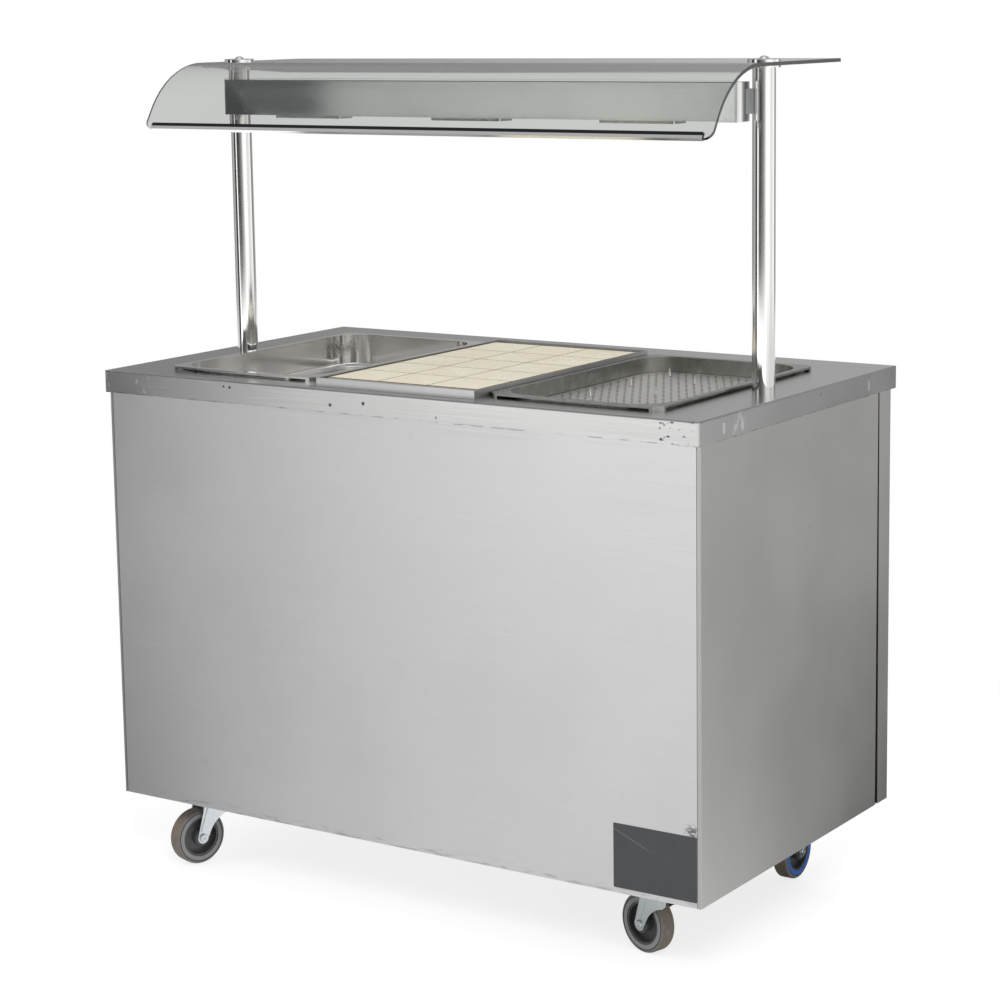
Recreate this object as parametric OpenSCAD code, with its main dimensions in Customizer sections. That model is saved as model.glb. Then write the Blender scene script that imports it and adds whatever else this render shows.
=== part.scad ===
// Heated carvery trolley: a hot cupboard on castors with food wells in the worktop,
// a lamp gantry and a curved glass canopy.
// Origin on the floor below the centre of the worktop. +X runs along the length,
// +Y towards the operator's side, where the doors and controls are, and +Z is up.

/* [Worktop] */
// Length of the worktop
top_l = 1206; // [1190:1:1300]
// Depth of the worktop
top_d = 700; // [680:1:760]
// Height of the working surface above the floor
top_z = 908; // [880:1:960]
// Height of the turned-down apron
apron_h = 39; // [30:1:50]
// Thickness of the worktop sheet
top_sheet = 1.5; // [1:0.1:2]
// Outer radius of the folded worktop edges
top_bend = 3; // [2.2:0.1:5]
// How far the apron stands out from each side panel
side_overhang = 3; // [2.5:0.1:20]
// How far the apron stands out from the front panel
front_overhang = 9; // [3:0.5:30]
// How far the apron stands out from the rear frame
rear_overhang = 17; // [10:0.5:30]

/* [Cabinet] */
// Thickness of the cabinet panels
panel_sheet = 1.2; // [0.8:0.1:1.6]
// Width of the folded return that closes each front corner
corner_fold = 6; // [5:0.5:12]
// Width of the open seam beside each front corner
corner_seam = 0.8; // [0.5:0.1:0.9]
// Depth of the stiffening folds behind the panel edges
panel_return = 20; // [10:1:24]
// Thickness of the base pan and the bulkhead
frame_sheet = 2; // [1.5:0.1:3]
// Height of the base pan's front and side flanges
base_flange_h = 28; // [15:1:40]
// Depth of the rear frame, doors included
rear_frame_d = 45; // [43:1:55]
// Width of the rear frame's stiles
stile_w = 38; // [30:1:60]
// Height of the sill below the doors
sill_h = 34; // [25:1:50]
// Height of the rail between the doors and the fascia
mid_rail_h = 8; // [6:1:20]
// Height of the control fascia
fascia_h = 110; // [100:1:130]
// Open joint between the side panels and the rear frame, at the top
rear_joint_top = 4; // [2:0.5:8]
// Open joint between the side panels and the rear frame, at the bottom
rear_joint_bottom = 10; // [4:0.5:14]

/* [Hot cupboard] */
// Width of the bulkhead's landing for the door seals
seal_landing = 22; // [20:1:30]
// Thickness of the cupboard liner
liner_sheet = 1.2; // [0.8:0.1:1.6]
// Space between the liner and the front panel
liner_front_gap = 26; // [24:1:60]
// Height of the shelf above the cupboard floor
shelf_lift = 262; // [100:1:400]
// Depth of the shelf's folded edges
shelf_fold = 20; // [10:1:30]
// Clearance of the shelf inside the liner
shelf_gap = 2; // [1:0.5:5]
// Length of the shelf's slots
slot_l = 120; // [40:5:160]
// Width of the shelf's slots
slot_w = 12; // [6:1:20]
// Outer diameter of the heating elements
element_dia = 8; // [6:0.5:10]

/* [Doors] */
// Running gap around the doors
door_gap = 4; // [3.6:0.1:6]
// Thickness of the door sheet
door_sheet = 1.2; // [0.8:0.1:1.6]
// Depth of the door's outer shell
door_shell_d = 32; // [28:1:34]
// Width of the lip that holds the door's inner liner
door_lip = 3; // [2:0.5:5]
// Width of the door seal
seal_w = 10; // [6:1:12]
// Clearance between the closed seal and the bulkhead
seal_gap = 0.3; // [0.2:0.1:0.5]
// Radius of the door pivot pins
pivot_r = 4; // [3:0.5:5]
// Distance of the pivot axis from the door's edge and from its face
pivot_inset = 8; // [7:0.5:8.5]
// Radius of the pivot bushes
bush_r = 6.5; // [6:0.5:7]
// Length of the pivot pins
pivot_l = 18; // [10:1:30]
// Length of the door handles
handle_l = 140; // [80:5:240]
// How far the handles stand out
handle_d = 14; // [8:1:16]

/* [Gantry] */
// Distance between the gantry posts
post_pitch = 1084; // [1080:1:1120]
// Offset of the gantry from the middle of the worktop
gantry_shift = -5; // [-10:1:0]
// Position of the posts along the depth
post_y = -17; // [-30:1:10]
// Outer diameter of the posts
post_dia = 38; // [34:0.1:40]
// Wall thickness of the posts
post_wall = 1.5; // [1:0.1:3]
// Height of the post sockets under the worktop
socket_h = 60; // [30:1:80]
// Length of the lamp housing
housing_l = 1046; // [1020:1:1050]
// Depth of the lamp housing
housing_d = 48; // [46:1:60]
// Height of the lamp housing
housing_h = 64; // [50:1:80]
// Height of the housing's underside above the worktop
housing_rise = 438.5; // [380:0.5:440]
// Thickness of the housing sheet
housing_sheet = 1.2; // [0.8:0.1:1.6]
// Depth of the saddles between the housing and the posts
saddle_d = 4; // [2:0.5:8]
// Length of the heat lamp units
lamp_l = 143; // [100:1:180]
// Width of the heat lamp units
lamp_w = 42; // [38:1:44]
// How far the lamp guards stand below the housing
guard_h = 5; // [3:0.5:8]

/* [Canopy] */
// Length of the glass
canopy_l = 1150; // [1140:1:1180]
// Offset of the glass from the middle of the worktop
canopy_shift = -11; // [-12:1:0]
// Thickness of the glass
glass_t = 6; // [5:0.5:8]
// Height of the glass top above the worktop
canopy_rise = 533; // [520:1:600]
// Position of the rear edge of the glass
canopy_back = 210; // [150:1:260]
// Position where the glass starts to curve down
canopy_bend_y = -79; // [-100:1:-60]
// Outer radius of the curve
canopy_bend_r = 166; // [130:1:170]
// Angle through which the glass curves
canopy_bend_angle = 58; // [40:1:75]
// Length of the straight lower edge of the glass
canopy_tail = 39; // [34:1:45]
// Corner radius of the glass
canopy_corner_r = 16; // [8:1:20]
// Leg height of the edge trim
trim_leg = 11; // [6:1:14]
// Thickness of the edge trim
trim_sheet = 1; // [0.8:0.1:1.5]
// Diameter of the clamping discs
disc_dia = 54; // [46:1:60]
// Thickness of the discs above the glass
disc_t = 5; // [3:0.5:6]
// Thickness of the washers below the glass
washer_t = 3; // [2:0.5:5]

/* [Food wells] */
// Distance between the middles of the wells
well_pitch = 339; // [337:1:345]
// Position of the wells along the depth
well_y = -28; // [-30:1:-10]
// Length of a food pan over its flange
pan_l = 530; // [525:1:540]
// Width of a food pan over its flange
pan_w = 325; // [320:1:330]
// Width of the pan flange
pan_flange = 11; // [10:0.5:14]
// Depth of the food pans
pan_depth = 65; // [60:1:90]
// Corner radius of the pans
pan_corner_r = 60; // [40:1:80]
// Radius along the bottom edges of the pans
pan_fillet = 12; // [6:1:20]
// Thickness of the pan sheet
pan_sheet = 1; // [0.8:0.1:1.5]
// Height of the pan rim above the worktop
rim_h = 7; // [4:0.5:10]
// Cut-off of the pan rim corners
rim_chamfer = 14; // [8:1:20]
// Height of the rim's turned-down edge between its corners
lip_h = 3.5; // [2:0.5:4]
// Clearance between the pans and the worktop openings
pan_gap = 3; // [1:0.5:4]
// Corner radius of the openings in the worktop
cut_corner_r = 30; // [20:1:50]
// Length of the middle opening
mid_cut_l = 490; // [400:1:500]
// Width of the middle opening
mid_cut_w = 288; // [200:1:292]
// Depth of the well tanks
tank_depth = 110; // [100:1:130]

/* [Carving plate] */
// Height of the plate below the worktop
plate_drop = 20; // [15:1:30]
// Thickness of the plate
plate_t = 2; // [1.5:0.1:3]
// Clearance between the plate and the pan walls
plate_gap = 2; // [1:0.5:4]
// Diameter of the perforations
perf_dia = 5; // [3:0.5:7]
// Distance between neighbouring perforations
perf_pitch = 15; // [13:0.5:30]
// Height of the spikes
spike_h = 15; // [8:1:20]
// Diameter of the spikes at the plate
spike_dia = 6; // [4:0.5:8]
// Distance between the spike columns
spike_pitch_x = 88; // [60:1:100]
// Distance between the spikes of one column
spike_pitch_y = 133; // [100:1:140]

/* [Tile tray] */
// Width of the tile tray
tray_w = 322; // [320:1:330]
// Length of the tile tray
tray_l = 552; // [545:1:560]
// Height of the tray's rim
tray_h = 14.3; // [13:0.1:20]
// Thickness of the tray sheet
tray_sheet = 1.5; // [1:0.1:2]
// Left edge of the tray as it was set down
tray_x = -148; // [-150:1:-146]
// Front edge of the tray as it was set down
tray_y = -325; // [-328:1:-322]
// Size of one tile
tile_size = 99; // [90:0.5:100]
// Width of the joints between the tiles
grout_w = 2; // [1:0.5:4]
// Thickness of the bed below the tiles
bed_t = 6; // [4:0.5:7]
// Thickness of the tiles
tile_t = 5.5; // [4:0.5:6]
// How far the joints lie below the faces of the tiles
joint_drop = 1; // [0.5:0.1:3]

/* [Castors] */
// Overall height of the castors
caster_h = 132; // [128:1:150]
// Distance between the castor swivels along the length
caster_pitch_x = 950; // [800:1:960]
// Distance between the castor swivels along the depth
caster_pitch_y = 490; // [400:1:500]
// Wheel diameter
wheel_dia = 100; // [90:1:104]
// Width of the tyres
tyre_w = 28; // [24:1:30]
// Thickness of the tyres
tyre_t = 14; // [8:1:16]
// Trail of the wheels behind the swivel axis
caster_trail = 35; // [30:1:38]
// Thickness of the fork sheet
fork_sheet = 2.5; // [2:0.1:3]
// Radius of the wheel axles
axle_r = 6; // [5:0.5:7]
// Radius of the swivel pins
kingpin_r = 5; // [4:0.5:6]

/* [Controls] */
// Diameter of the thermostat knobs
knob_dia = 44; // [36:1:50]
// Length of the thermostat knobs
knob_l = 13; // [8:1:14]
// Radius of the thermostat shafts
shaft_r = 3; // [2.5:0.5:4]
// Length of the rocker switch
rocker_l = 26; // [20:1:32]
// Width of the rocker switch
rocker_w = 18; // [14:1:22]
// Radius of the cable entry's bore
gland_r = 5; // [4:0.5:6]
// Distance of the first knob from the end of the fascia
knob_inset = 262; // [40:1:270]
// Distance between the knobs, and twice that of a pilot lamp from its control
knob_pitch = 120; // [80:1:130]
// Distance of the rocker switch from the second knob
rocker_offset = 240; // [120:1:260]
// Distance of the cable entry from the other end of the fascia
gland_inset = 62; // [30:1:120]

/* [Hidden] */
$fn = 64;
cut = 1;                 // overshoot of cutting tools
running = 0.05;          // radial running clearance of pins and shafts
clear = 0.3;             // least clearance between separate moving bodies
glue = 0.1;              // adhesive film between the glass and its trim

cab_x = top_l / 2 - side_overhang;
cab_front = -top_d / 2 + front_overhang;
rear_face = top_d / 2 - rear_overhang;
frame_front = rear_face - rear_frame_d;
panel_back = frame_front - rear_joint_top;
cab_in_x = cab_x - panel_sheet;
cab_in_front = cab_front + panel_sheet;
under_top = top_z - top_sheet;
pan_floor_top = caster_h + frame_sheet;

// Rear opening, rails and fascia, from the sill up
open_x = cab_x - stile_w;
sill_z = caster_h + sill_h;
fascia_drop = 5;
fascia_top = top_z - apron_h - fascia_drop;
fascia_z = fascia_top - fascia_h;
mid_rail_z = fascia_z - mid_rail_h;

// Hot cupboard
cup_x = open_x - seal_landing;
cup_z0 = sill_z + seal_landing;
cup_z1 = mid_rail_z - seal_landing;
cup_front = cab_front + liner_front_gap;
cup_back = frame_front - frame_sheet;
shelf_z = cup_z0 + shelf_lift;

// Doors
door_x0 = 1.5;
door_x1 = open_x - door_gap;
pivot_washer_t = 2;
top_washer_t = 1.5;
top_washer_gap = 0.5;
door_z0 = sill_z + pivot_washer_t + clear;
door_z1 = mid_rail_z - top_washer_t - top_washer_gap;
door_face = rear_face;
door_shell_y = door_face - door_shell_d;
seal_h = 5;
door_liner_y = frame_front + seal_h;
pivot_x = door_x1 - pivot_inset;
pivot_y = door_face - pivot_inset;

// Gantry, from the worktop up
post_r = post_dia / 2;
post_xs = [gantry_shift - post_pitch / 2, gantry_shift + post_pitch / 2];
glass_top = top_z + canopy_rise;
post_top = glass_top - glass_t - washer_t;
housing_z = top_z + housing_rise;
housing_back = post_y - post_r - saddle_d;
housing_front = housing_back - housing_d;
screw_r = 4;
// Wells and pans
pan_open_w = pan_w - 2 * pan_flange;
pan_open_l = pan_l - 2 * pan_flange;
cut_w = pan_open_w + 2 * pan_gap;
cut_l = pan_open_l + 2 * pan_gap;
tank_sheet = 1;
tank_room = 2;
tank_gap = 2;
tank_w = cut_w + 2 * tank_room;
tank_l = cut_l + 2 * tank_room;
tank_flange = (well_pitch - tank_w - tank_gap) / 2;
pan_z0 = top_z + rim_h - pan_depth;
plate_top = top_z - plate_drop;

// Castors: name, side, front or rear, and the rolling direction in degrees
wheel_r = wheel_dia / 2;
crown_gap = 5;
crown_z = wheel_dia + crown_gap;
tyre_gap = 4;
fork_in = tyre_w / 2 + tyre_gap;
CASTERS = [[-1, -1, 72], [1, -1, -16], [-1, 1, 205], [1, 1, 90]];
bolt_x = 38;
bolt_y = 28;
bolt_r = 4;

// Controls on the fascia, from the left as the operator's side is seen from the front
control_z = fascia_z + fascia_h / 2;
fascia_recess = 2;
fascia_face = rear_face - fascia_recess;
knob_x = -open_x + knob_inset;
knob_xs = [knob_x, knob_x + knob_pitch];
rocker_x = knob_x + knob_pitch + rocker_offset;
pilot_xs = [knob_x + knob_pitch / 2, rocker_x - knob_pitch / 2];
gland_x = open_x - gland_inset;

steel = "#c9c9c6";
bright = "#dededb";
dark_steel = "#8d8d8b";
zinc = "#b9bcc0";
black = "#2a2a2a";
cream = "#e4dac4";

// ---- Shared shapes ----

// Box between two opposite corners
module block(from, to) translate(from) cube(to - from);

// Shapes drawn once and mirrored to the other side
module both_sides() {
  children();
  mirror([1, 0, 0]) children();
}

// Rectangle around the origin with round corners
module rounded_rect(w, l, r) {
  square([w - 2 * r, l], center = true);
  square([w, l - 2 * r], center = true);
  for (x = [-1, 1], y = [-1, 1])
    translate([x * (w / 2 - r), y * (l / 2 - r)]) circle(r);
}

// Disc whose upper edge is rounded to the radius given
module soft_disc(r, h, edge) rotate_extrude() {
  square([r, h - edge]);
  square([r - edge, h]);
  translate([r - edge, h - edge]) circle(edge);
}

// Slot with round ends around the origin
module slot_shape(l, w) {
  square([l - w, w], center = true);
  for (x = [-1, 1]) translate([x * (l - w) / 2, 0]) circle(w / 2);
}

// Upright section, centred on x, with the two lower corners rounded
module trough_section(w, h, r) {
  translate([-w / 2, r]) square([w, h - r]);
  translate([-w / 2 + r, 0]) square([w - 2 * r, r]);
  for (x = [-1, 1]) translate([x * (w / 2 - r), r]) circle(r);
}

// Solid with round upright corners and a fillet all round its bottom
module basin(w, l, h, r, fillet) {
  for (x = [-1, 1], y = [-1, 1])
    translate([x * (w / 2 - r), y * (l / 2 - r), 0]) rotate_extrude()
      intersection() {
        trough_section(2 * r, h, fillet);
        square([r, h]);
      }
  translate([-(w / 2 - r), 0, 0]) rotate([90, 0, 90])
    linear_extrude(w - 2 * r) trough_section(l, h, fillet);
  translate([0, l / 2 - r, 0]) rotate([90, 0, 0])
    linear_extrude(l - 2 * r) trough_section(w, h, fillet);
}

// Box with round upright corners and rounded top edges, its top at z = 0
module folded_cap(w, l, h, r) {
  intersection() {
    translate([0, 0, -h]) linear_extrude(h) rounded_rect(w, l, r);
    translate([-w / 2, 0, 0]) rotate([90, 0, 90]) linear_extrude(w)
      mirror([0, 1]) trough_section(l, h, r);
    translate([0, l / 2, 0]) rotate([90, 0, 0]) linear_extrude(l)
      mirror([0, 1]) trough_section(w, h, r);
  }
}

// Flat ring between two boxes given by their half widths and heights
module frame_ring(x0, x1, z0, z1, w, y0, y1) {
  difference() {
    block([x0, y0, z0], [x1, y1, z1]);
    block([x0 + w, y0 - cut, z0 + w], [x1 - w, y1 + cut, z1 - w]);
  }
}

// Tube bent once into a hairpin: legs along +Y, bend at the -Y end
module hairpin(l, w, r) {
  for (x = [-w / 2, w / 2]) translate([x, 0, 0]) rotate([-90, 0, 0]) cylinder(h = l, r = r);
  rotate([0, 0, 180]) rotate_extrude(angle = 180) translate([w / 2, 0]) circle(r);
}

// ---- Worktop ----

module well_cut(x, w, l)
  translate([x, well_y, under_top - cut]) linear_extrude(top_sheet + 2 * cut)
    rounded_rect(w, l, cut_corner_r);

module worktop() color(steel) difference() {
  translate([0, 0, top_z]) folded_cap(top_l, top_d, apron_h, top_bend);
  translate([0, 0, under_top])
    folded_cap(top_l - 2 * top_sheet, top_d - 2 * top_sheet, apron_h, top_bend - top_sheet);
  for (side = [-1, 1]) well_cut(side * well_pitch, cut_w, cut_l);
  well_cut(0, mid_cut_w, mid_cut_l);
  for (x = post_xs)
    translate([x, post_y, under_top - cut]) cylinder(h = top_sheet + 2 * cut, r = post_r);
}

// Folded and welded tanks, each with a flange under the worktop
module well_tanks() color(dark_steel) for (i = [-1:1]) translate([i * well_pitch, well_y, 0])
  difference() {
    union() {
      block([-tank_w / 2 - tank_sheet, -tank_l / 2 - tank_sheet, under_top - tank_depth],
            [tank_w / 2 + tank_sheet, tank_l / 2 + tank_sheet, under_top]);
      block([-tank_w / 2 - tank_flange, -tank_l / 2 - tank_flange, under_top - tank_sheet],
            [tank_w / 2 + tank_flange, tank_l / 2 + tank_flange, under_top]);
    }
    block([-tank_w / 2, -tank_l / 2, under_top - tank_depth + tank_sheet],
          [tank_w / 2, tank_l / 2, under_top + cut]);
  }

// Hairpin elements on short feet: one in each well and two in the cupboard
element_r = element_dia / 2;
element_lift = 12;
element_foot_r = 2.5;
element_foot_inset = 36;
well_element_inset_l = 78;
well_element_inset_w = 62;
well_element_l = tank_l - 2 * well_element_inset_l;
well_element_w = tank_w - 2 * well_element_inset_w;
module element_on_feet(l, w) translate([0, w / 4 - l / 2, element_lift + element_r]) {
  hairpin(l, w, element_r);
  for (x = [-w / 2, w / 2], y = [element_foot_inset, l - element_foot_inset])
    translate([x, y, -element_lift - element_r])
      cylinder(h = element_lift + element_r, r = element_foot_r);
}

cup_element_inset = 120;
cup_element_l = cup_back - cup_front - 2 * cup_element_inset;
cup_element_w = 240;
module heating_elements() color(dark_steel) {
  for (i = [-1:1]) translate([i * well_pitch, well_y, under_top - tank_depth + tank_sheet])
    element_on_feet(well_element_l, well_element_w);
  for (side = [-1, 1]) translate([side * cup_x / 2, (cup_front + cup_back) / 2, cup_z0])
    element_on_feet(cup_element_l, cup_element_w);
}

// ---- Cabinet shell ----

// Front panel between the corner folds, with folded side returns
front_half = cab_x - corner_fold - corner_seam;
return_gap = 2;
return_z = caster_h + base_flange_h + return_gap;
module front_panel() color(steel) {
  block([-front_half, cab_front, caster_h], [front_half, cab_in_front, under_top]);
  both_sides() block([front_half - panel_sheet, cab_front, return_z],
                     [front_half, cab_front + panel_return, under_top]);
}

// Plan outline from the middle to x and from y to back, rounded at its front corner
module corner_outline(x, y, r, back) {
  translate([0, y + r]) square([x, back - y - r]);
  translate([0, y]) square([x - r, back - y]);
  translate([x - r, y + r]) circle(r);
}

// Side panel of the right-hand side, folded around the front corner
corner_bend = 2 * panel_sheet;
module side_section() difference() {
  corner_outline(cab_x, cab_front, corner_bend, panel_back);
  corner_outline(cab_in_x, cab_in_front, corner_bend - panel_sheet, panel_back + cut);
  translate([-cut, cab_front - cut])
    square([cab_x - corner_fold + cut, panel_back - cab_front + 2 * cut]);
}

module side_panel() {
  translate([0, 0, caster_h]) linear_extrude(under_top - caster_h) side_section();
  block([cab_x - corner_fold, cab_front, return_z],
        [cab_x - corner_fold + panel_sheet, cab_front + panel_return, under_top]);
}

module side_panel_right() color(steel) side_panel();
module side_panel_left() color(steel) mirror([1, 0, 0]) side_panel();

// Places of the castor plate bolts
module at_caster_bolts()
  for (c = CASTERS, x = [-bolt_x, bolt_x], y = [-bolt_y, bolt_y])
    translate([c[0] * caster_pitch_x / 2 + x, c[1] * caster_pitch_y / 2 + y, 0]) children();

flange_x = front_half - 2 * panel_sheet;
side_flange_setback = 40;
module base_pan() color(steel) difference() {
  union() {
    block([-cab_in_x, cab_front + corner_bend, caster_h],
          [cab_in_x, frame_front, pan_floor_top]);
    block([-flange_x, cab_in_front, caster_h],
          [flange_x, cab_front + corner_bend, pan_floor_top]);
    block([-flange_x, cab_in_front, pan_floor_top],
          [flange_x, cab_in_front + frame_sheet, caster_h + base_flange_h]);
    both_sides() block([cab_in_x - frame_sheet, cab_front + corner_bend, pan_floor_top],
                       [cab_in_x, panel_back - side_flange_setback,
                        caster_h + base_flange_h]);
  }
  at_caster_bolts() translate([0, 0, caster_h - cut])
    cylinder(h = frame_sheet + 2 * cut, r = bolt_r);
}

// Two channels, open at the bottom between their feet, that carry the cupboard
rail_w = 80;
rail_end = 30;
module chassis_rails() color(dark_steel) difference() {
  for (side = [-1, 1]) translate([0, side * caster_pitch_y / 2, 0]) difference() {
    block([-cab_in_x + rail_end, -rail_w / 2, pan_floor_top],
          [cab_in_x - rail_end, rail_w / 2, cup_z0 - liner_sheet]);
    block([-cab_x, -rail_w / 2 + frame_sheet, pan_floor_top + frame_sheet],
          [cab_x, rail_w / 2 - frame_sheet, cup_z0 - liner_sheet - frame_sheet]);
  }
  at_caster_bolts() translate([0, 0, pan_floor_top - cut])
    cylinder(h = frame_sheet + 2 * cut, r = bolt_r);
}

// Bulkhead behind the doors: two openings beside a mullion, and side wings
mullion_w = 2 * seal_landing;
wing_inset = 10;
wing_d = 26;
wire_hole_r = 8;
module back_bulkhead() color(steel) {
  difference() {
    block([-cab_x + wing_inset, frame_front - frame_sheet, pan_floor_top],
          [cab_x - wing_inset, frame_front, under_top]);
    both_sides() block([mullion_w / 2, frame_front - frame_sheet - cut, cup_z0],
                       [cup_x, frame_front + cut, cup_z1]);
    for (x = concat(knob_xs, pilot_xs, [rocker_x, gland_x]))
      translate([x, frame_front + cut, control_z]) rotate([90, 0, 0])
        cylinder(h = frame_sheet + 2 * cut, r = wire_hole_r);
  }
  both_sides() {
    block([cab_x - wing_inset - frame_sheet, frame_front - wing_d, pan_floor_top],
          [cab_x - wing_inset, frame_front - frame_sheet, under_top]);
    block([cab_x - wing_inset, frame_front - wing_d, pan_floor_top],
          [cab_in_x, frame_front - wing_d + frame_sheet, under_top]);
  }
}

// Welded rear frame of folded channel, open towards the bulkhead
frame_wall = 1.5;
module rear_frame() color(steel) difference() {
  block([-cab_x, frame_front, caster_h], [cab_x, rear_face, under_top]);
  for (z = [[sill_z, mid_rail_z], [fascia_z, fascia_top]])
    block([-open_x, frame_front - cut, z[0]], [open_x, rear_face + cut, z[1]]);
  for (z = [[caster_h, sill_z], [mid_rail_z, fascia_z], [fascia_top, under_top]])
    block([-cab_x + frame_wall, frame_front - cut, z[0] + frame_wall],
          [cab_x - frame_wall, rear_face - frame_wall, z[1] - frame_wall]);
  both_sides() {
    block([open_x + frame_wall, frame_front - cut, caster_h + frame_wall],
          [cab_x - frame_wall, rear_face - frame_wall, under_top - frame_wall]);
    // The outer wall stands away from the side panel, more so at the bottom
    translate([cab_x - frame_wall - cut, 0, 0]) rotate([90, 0, 90])
      linear_extrude(frame_wall + 2 * cut)
        polygon([[frame_front - cut, caster_h - cut], [frame_front - cut, under_top],
                 [frame_front, under_top],
                 [panel_back + rear_joint_bottom, caster_h - cut]]);
  }
}

// ---- Hot cupboard ----

ledge = 14;
module cupboard_liner() color(bright) {
  difference() {
    block([-cup_x - liner_sheet, cup_front - liner_sheet, cup_z0 - liner_sheet],
          [cup_x + liner_sheet, cup_back, cup_z1 + liner_sheet]);
    block([-cup_x, cup_front, cup_z0], [cup_x, cup_back + cut, cup_z1]);
  }
  // Angle ledges that the shelf rests on
  both_sides() {
    block([cup_x - ledge, cup_front, shelf_z - liner_sheet], [cup_x, shelf_back, shelf_z]);
    block([cup_x - liner_sheet, cup_front, shelf_z - ledge],
          [cup_x, shelf_back, shelf_z - liner_sheet]);
  }
}

// Shelf with turned-down front and rear edges and rows of slots
shelf_sheet = 1.2;
shelf_x = cup_x - shelf_gap;
shelf_front = cup_front + shelf_gap;
shelf_setback = 24;
shelf_back = cup_back - shelf_setback;
shelf_edge_gap = 2;
slot_bridge_x = 20;
slot_bridge_y = 28;
slot_margin = 30;
module shelf() color(bright) difference() {
  union() {
    block([-shelf_x, shelf_front, shelf_z], [shelf_x, shelf_back, shelf_z + shelf_sheet]);
    for (y = [shelf_front, shelf_back - shelf_sheet])
      block([-shelf_x + ledge + shelf_edge_gap, y, shelf_z - shelf_fold],
            [shelf_x - ledge - shelf_edge_gap, y + shelf_sheet, shelf_z]);
  }
  step_x = slot_l + slot_bridge_x;
  step_y = slot_w + slot_bridge_y;
  cols = floor(2 * (shelf_x - slot_margin) / step_x);
  rows = floor((shelf_back - shelf_front - 2 * slot_margin) / step_y);
  for (i = [0:cols - 1], j = [0:rows - 1])
    translate([(i - (cols - 1) / 2) * step_x,
               (shelf_front + shelf_back) / 2 + (j - (rows - 1) / 2) * step_y, shelf_z - cut])
      linear_extrude(shelf_sheet + 2 * cut) slot_shape(slot_l, slot_w);
}

// ---- Doors ----

// Outer shell of the right-hand door with a bush at each pivot
module door_shell() difference() {
  union() {
    difference() {
      block([door_x0, door_shell_y, door_z0], [door_x1, door_face, door_z1]);
      block([door_x0 + door_sheet, door_shell_y + door_sheet, door_z0 + door_sheet],
            [door_x1 - door_sheet, door_face - door_sheet, door_z1 - door_sheet]);
      block([door_x0 + door_lip, door_shell_y - cut, door_z0 + door_lip],
            [door_x1 - door_lip, door_shell_y + 2 * door_sheet, door_z1 - door_lip]);
    }
    for (z = [door_z0, door_z1 - pivot_l])
      translate([pivot_x, pivot_y, z]) cylinder(h = pivot_l, r = bush_r);
  }
  for (z = [door_z0 - cut, door_z1 - pivot_l - cut])
    translate([pivot_x, pivot_y, z]) cylinder(h = pivot_l + 2 * cut, r = pivot_r + running);
}

// Inner liner, a shallow pan held by the lip of the outer shell
door_liner_grip = 9;
module door_liner() difference() {
  block([door_x0 + door_lip, door_liner_y, door_z0 + door_lip],
        [door_x1 - door_lip, door_shell_y + door_liner_grip, door_z1 - door_lip]);
  block([door_x0 + door_lip + door_sheet, door_liner_y + door_sheet,
         door_z0 + door_lip + door_sheet],
        [door_x1 - door_lip - door_sheet, door_shell_y + door_liner_grip + cut,
         door_z1 - door_lip - door_sheet]);
}

module door_seal() frame_ring(door_x0 + door_lip, door_x1 - door_lip,
                              door_z0 + door_lip, door_z1 - door_lip, seal_w,
                              frame_front + seal_gap, door_liner_y);

// Folded pull with a finger gap on its hinge side
handle_sheet = 2;
handle_x = 34;
handle_w = 26;
handle_flange = 12;
handle_hem = 5;
handle_z = (door_z0 + door_z1) / 2 - handle_l / 2;
module door_handle() {
  translate([0, 0, handle_z]) linear_extrude(handle_l) {
    translate([handle_x, door_face]) square([handle_flange, handle_sheet]);
    translate([handle_x, door_face]) square([handle_sheet, handle_d]);
    translate([handle_x, door_face + handle_d - handle_sheet])
      square([handle_w, handle_sheet]);
    translate([handle_x + handle_w - handle_sheet, door_face + handle_d - handle_hem])
      square([handle_sheet, handle_hem]);
  }
}

module door_right_shell() color(steel) door_shell();
module door_right_liner() color(bright) door_liner();
module door_right_seal() color(black) door_seal();
module door_right_handle() color(bright) door_handle();
module door_left_shell() color(steel) mirror([1, 0, 0]) door_shell();
module door_left_liner() color(bright) mirror([1, 0, 0]) door_liner();
module door_left_seal() color(black) mirror([1, 0, 0]) door_seal();
module door_left_handle() color(bright) mirror([1, 0, 0]) door_handle();

// Pivot pins with their washers, on the sill and under the middle rail
pivot_washer_r = pivot_r + 2;
pin_end_gap = 3;
pin_l = pivot_l - pin_end_gap;
module door_fittings() color(zinc) both_sides() translate([pivot_x, pivot_y, 0]) {
  translate([0, 0, sill_z]) cylinder(h = pivot_washer_t, r = pivot_washer_r);
  translate([0, 0, sill_z]) cylinder(h = pivot_washer_t + pin_l, r = pivot_r);
  translate([0, 0, mid_rail_z - top_washer_t]) cylinder(h = top_washer_t, r = pivot_washer_r);
  translate([0, 0, mid_rail_z - top_washer_t - pin_l])
    cylinder(h = top_washer_t + pin_l, r = pivot_r);
}

// ---- Control fascia ----

fascia_gap = 1;
shaft_hole_gap = 1;
gland_wall = 4;
switch_wall = 2;
pilot_r = 6;
module on_fascia(x) translate([x, fascia_face, control_z]) rotate([-90, 0, 0]) children();
module fascia_hole(x, r) on_fascia(x) translate([0, 0, -panel_sheet - cut])
  cylinder(h = panel_sheet + 2 * cut, r = r);

module switch_block(margin, y0, y1)
  block([rocker_x - rocker_l / 2 - margin, y0, control_z - rocker_w / 2 - margin],
        [rocker_x + rocker_l / 2 + margin, y1, control_z + rocker_w / 2 + margin]);

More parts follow.
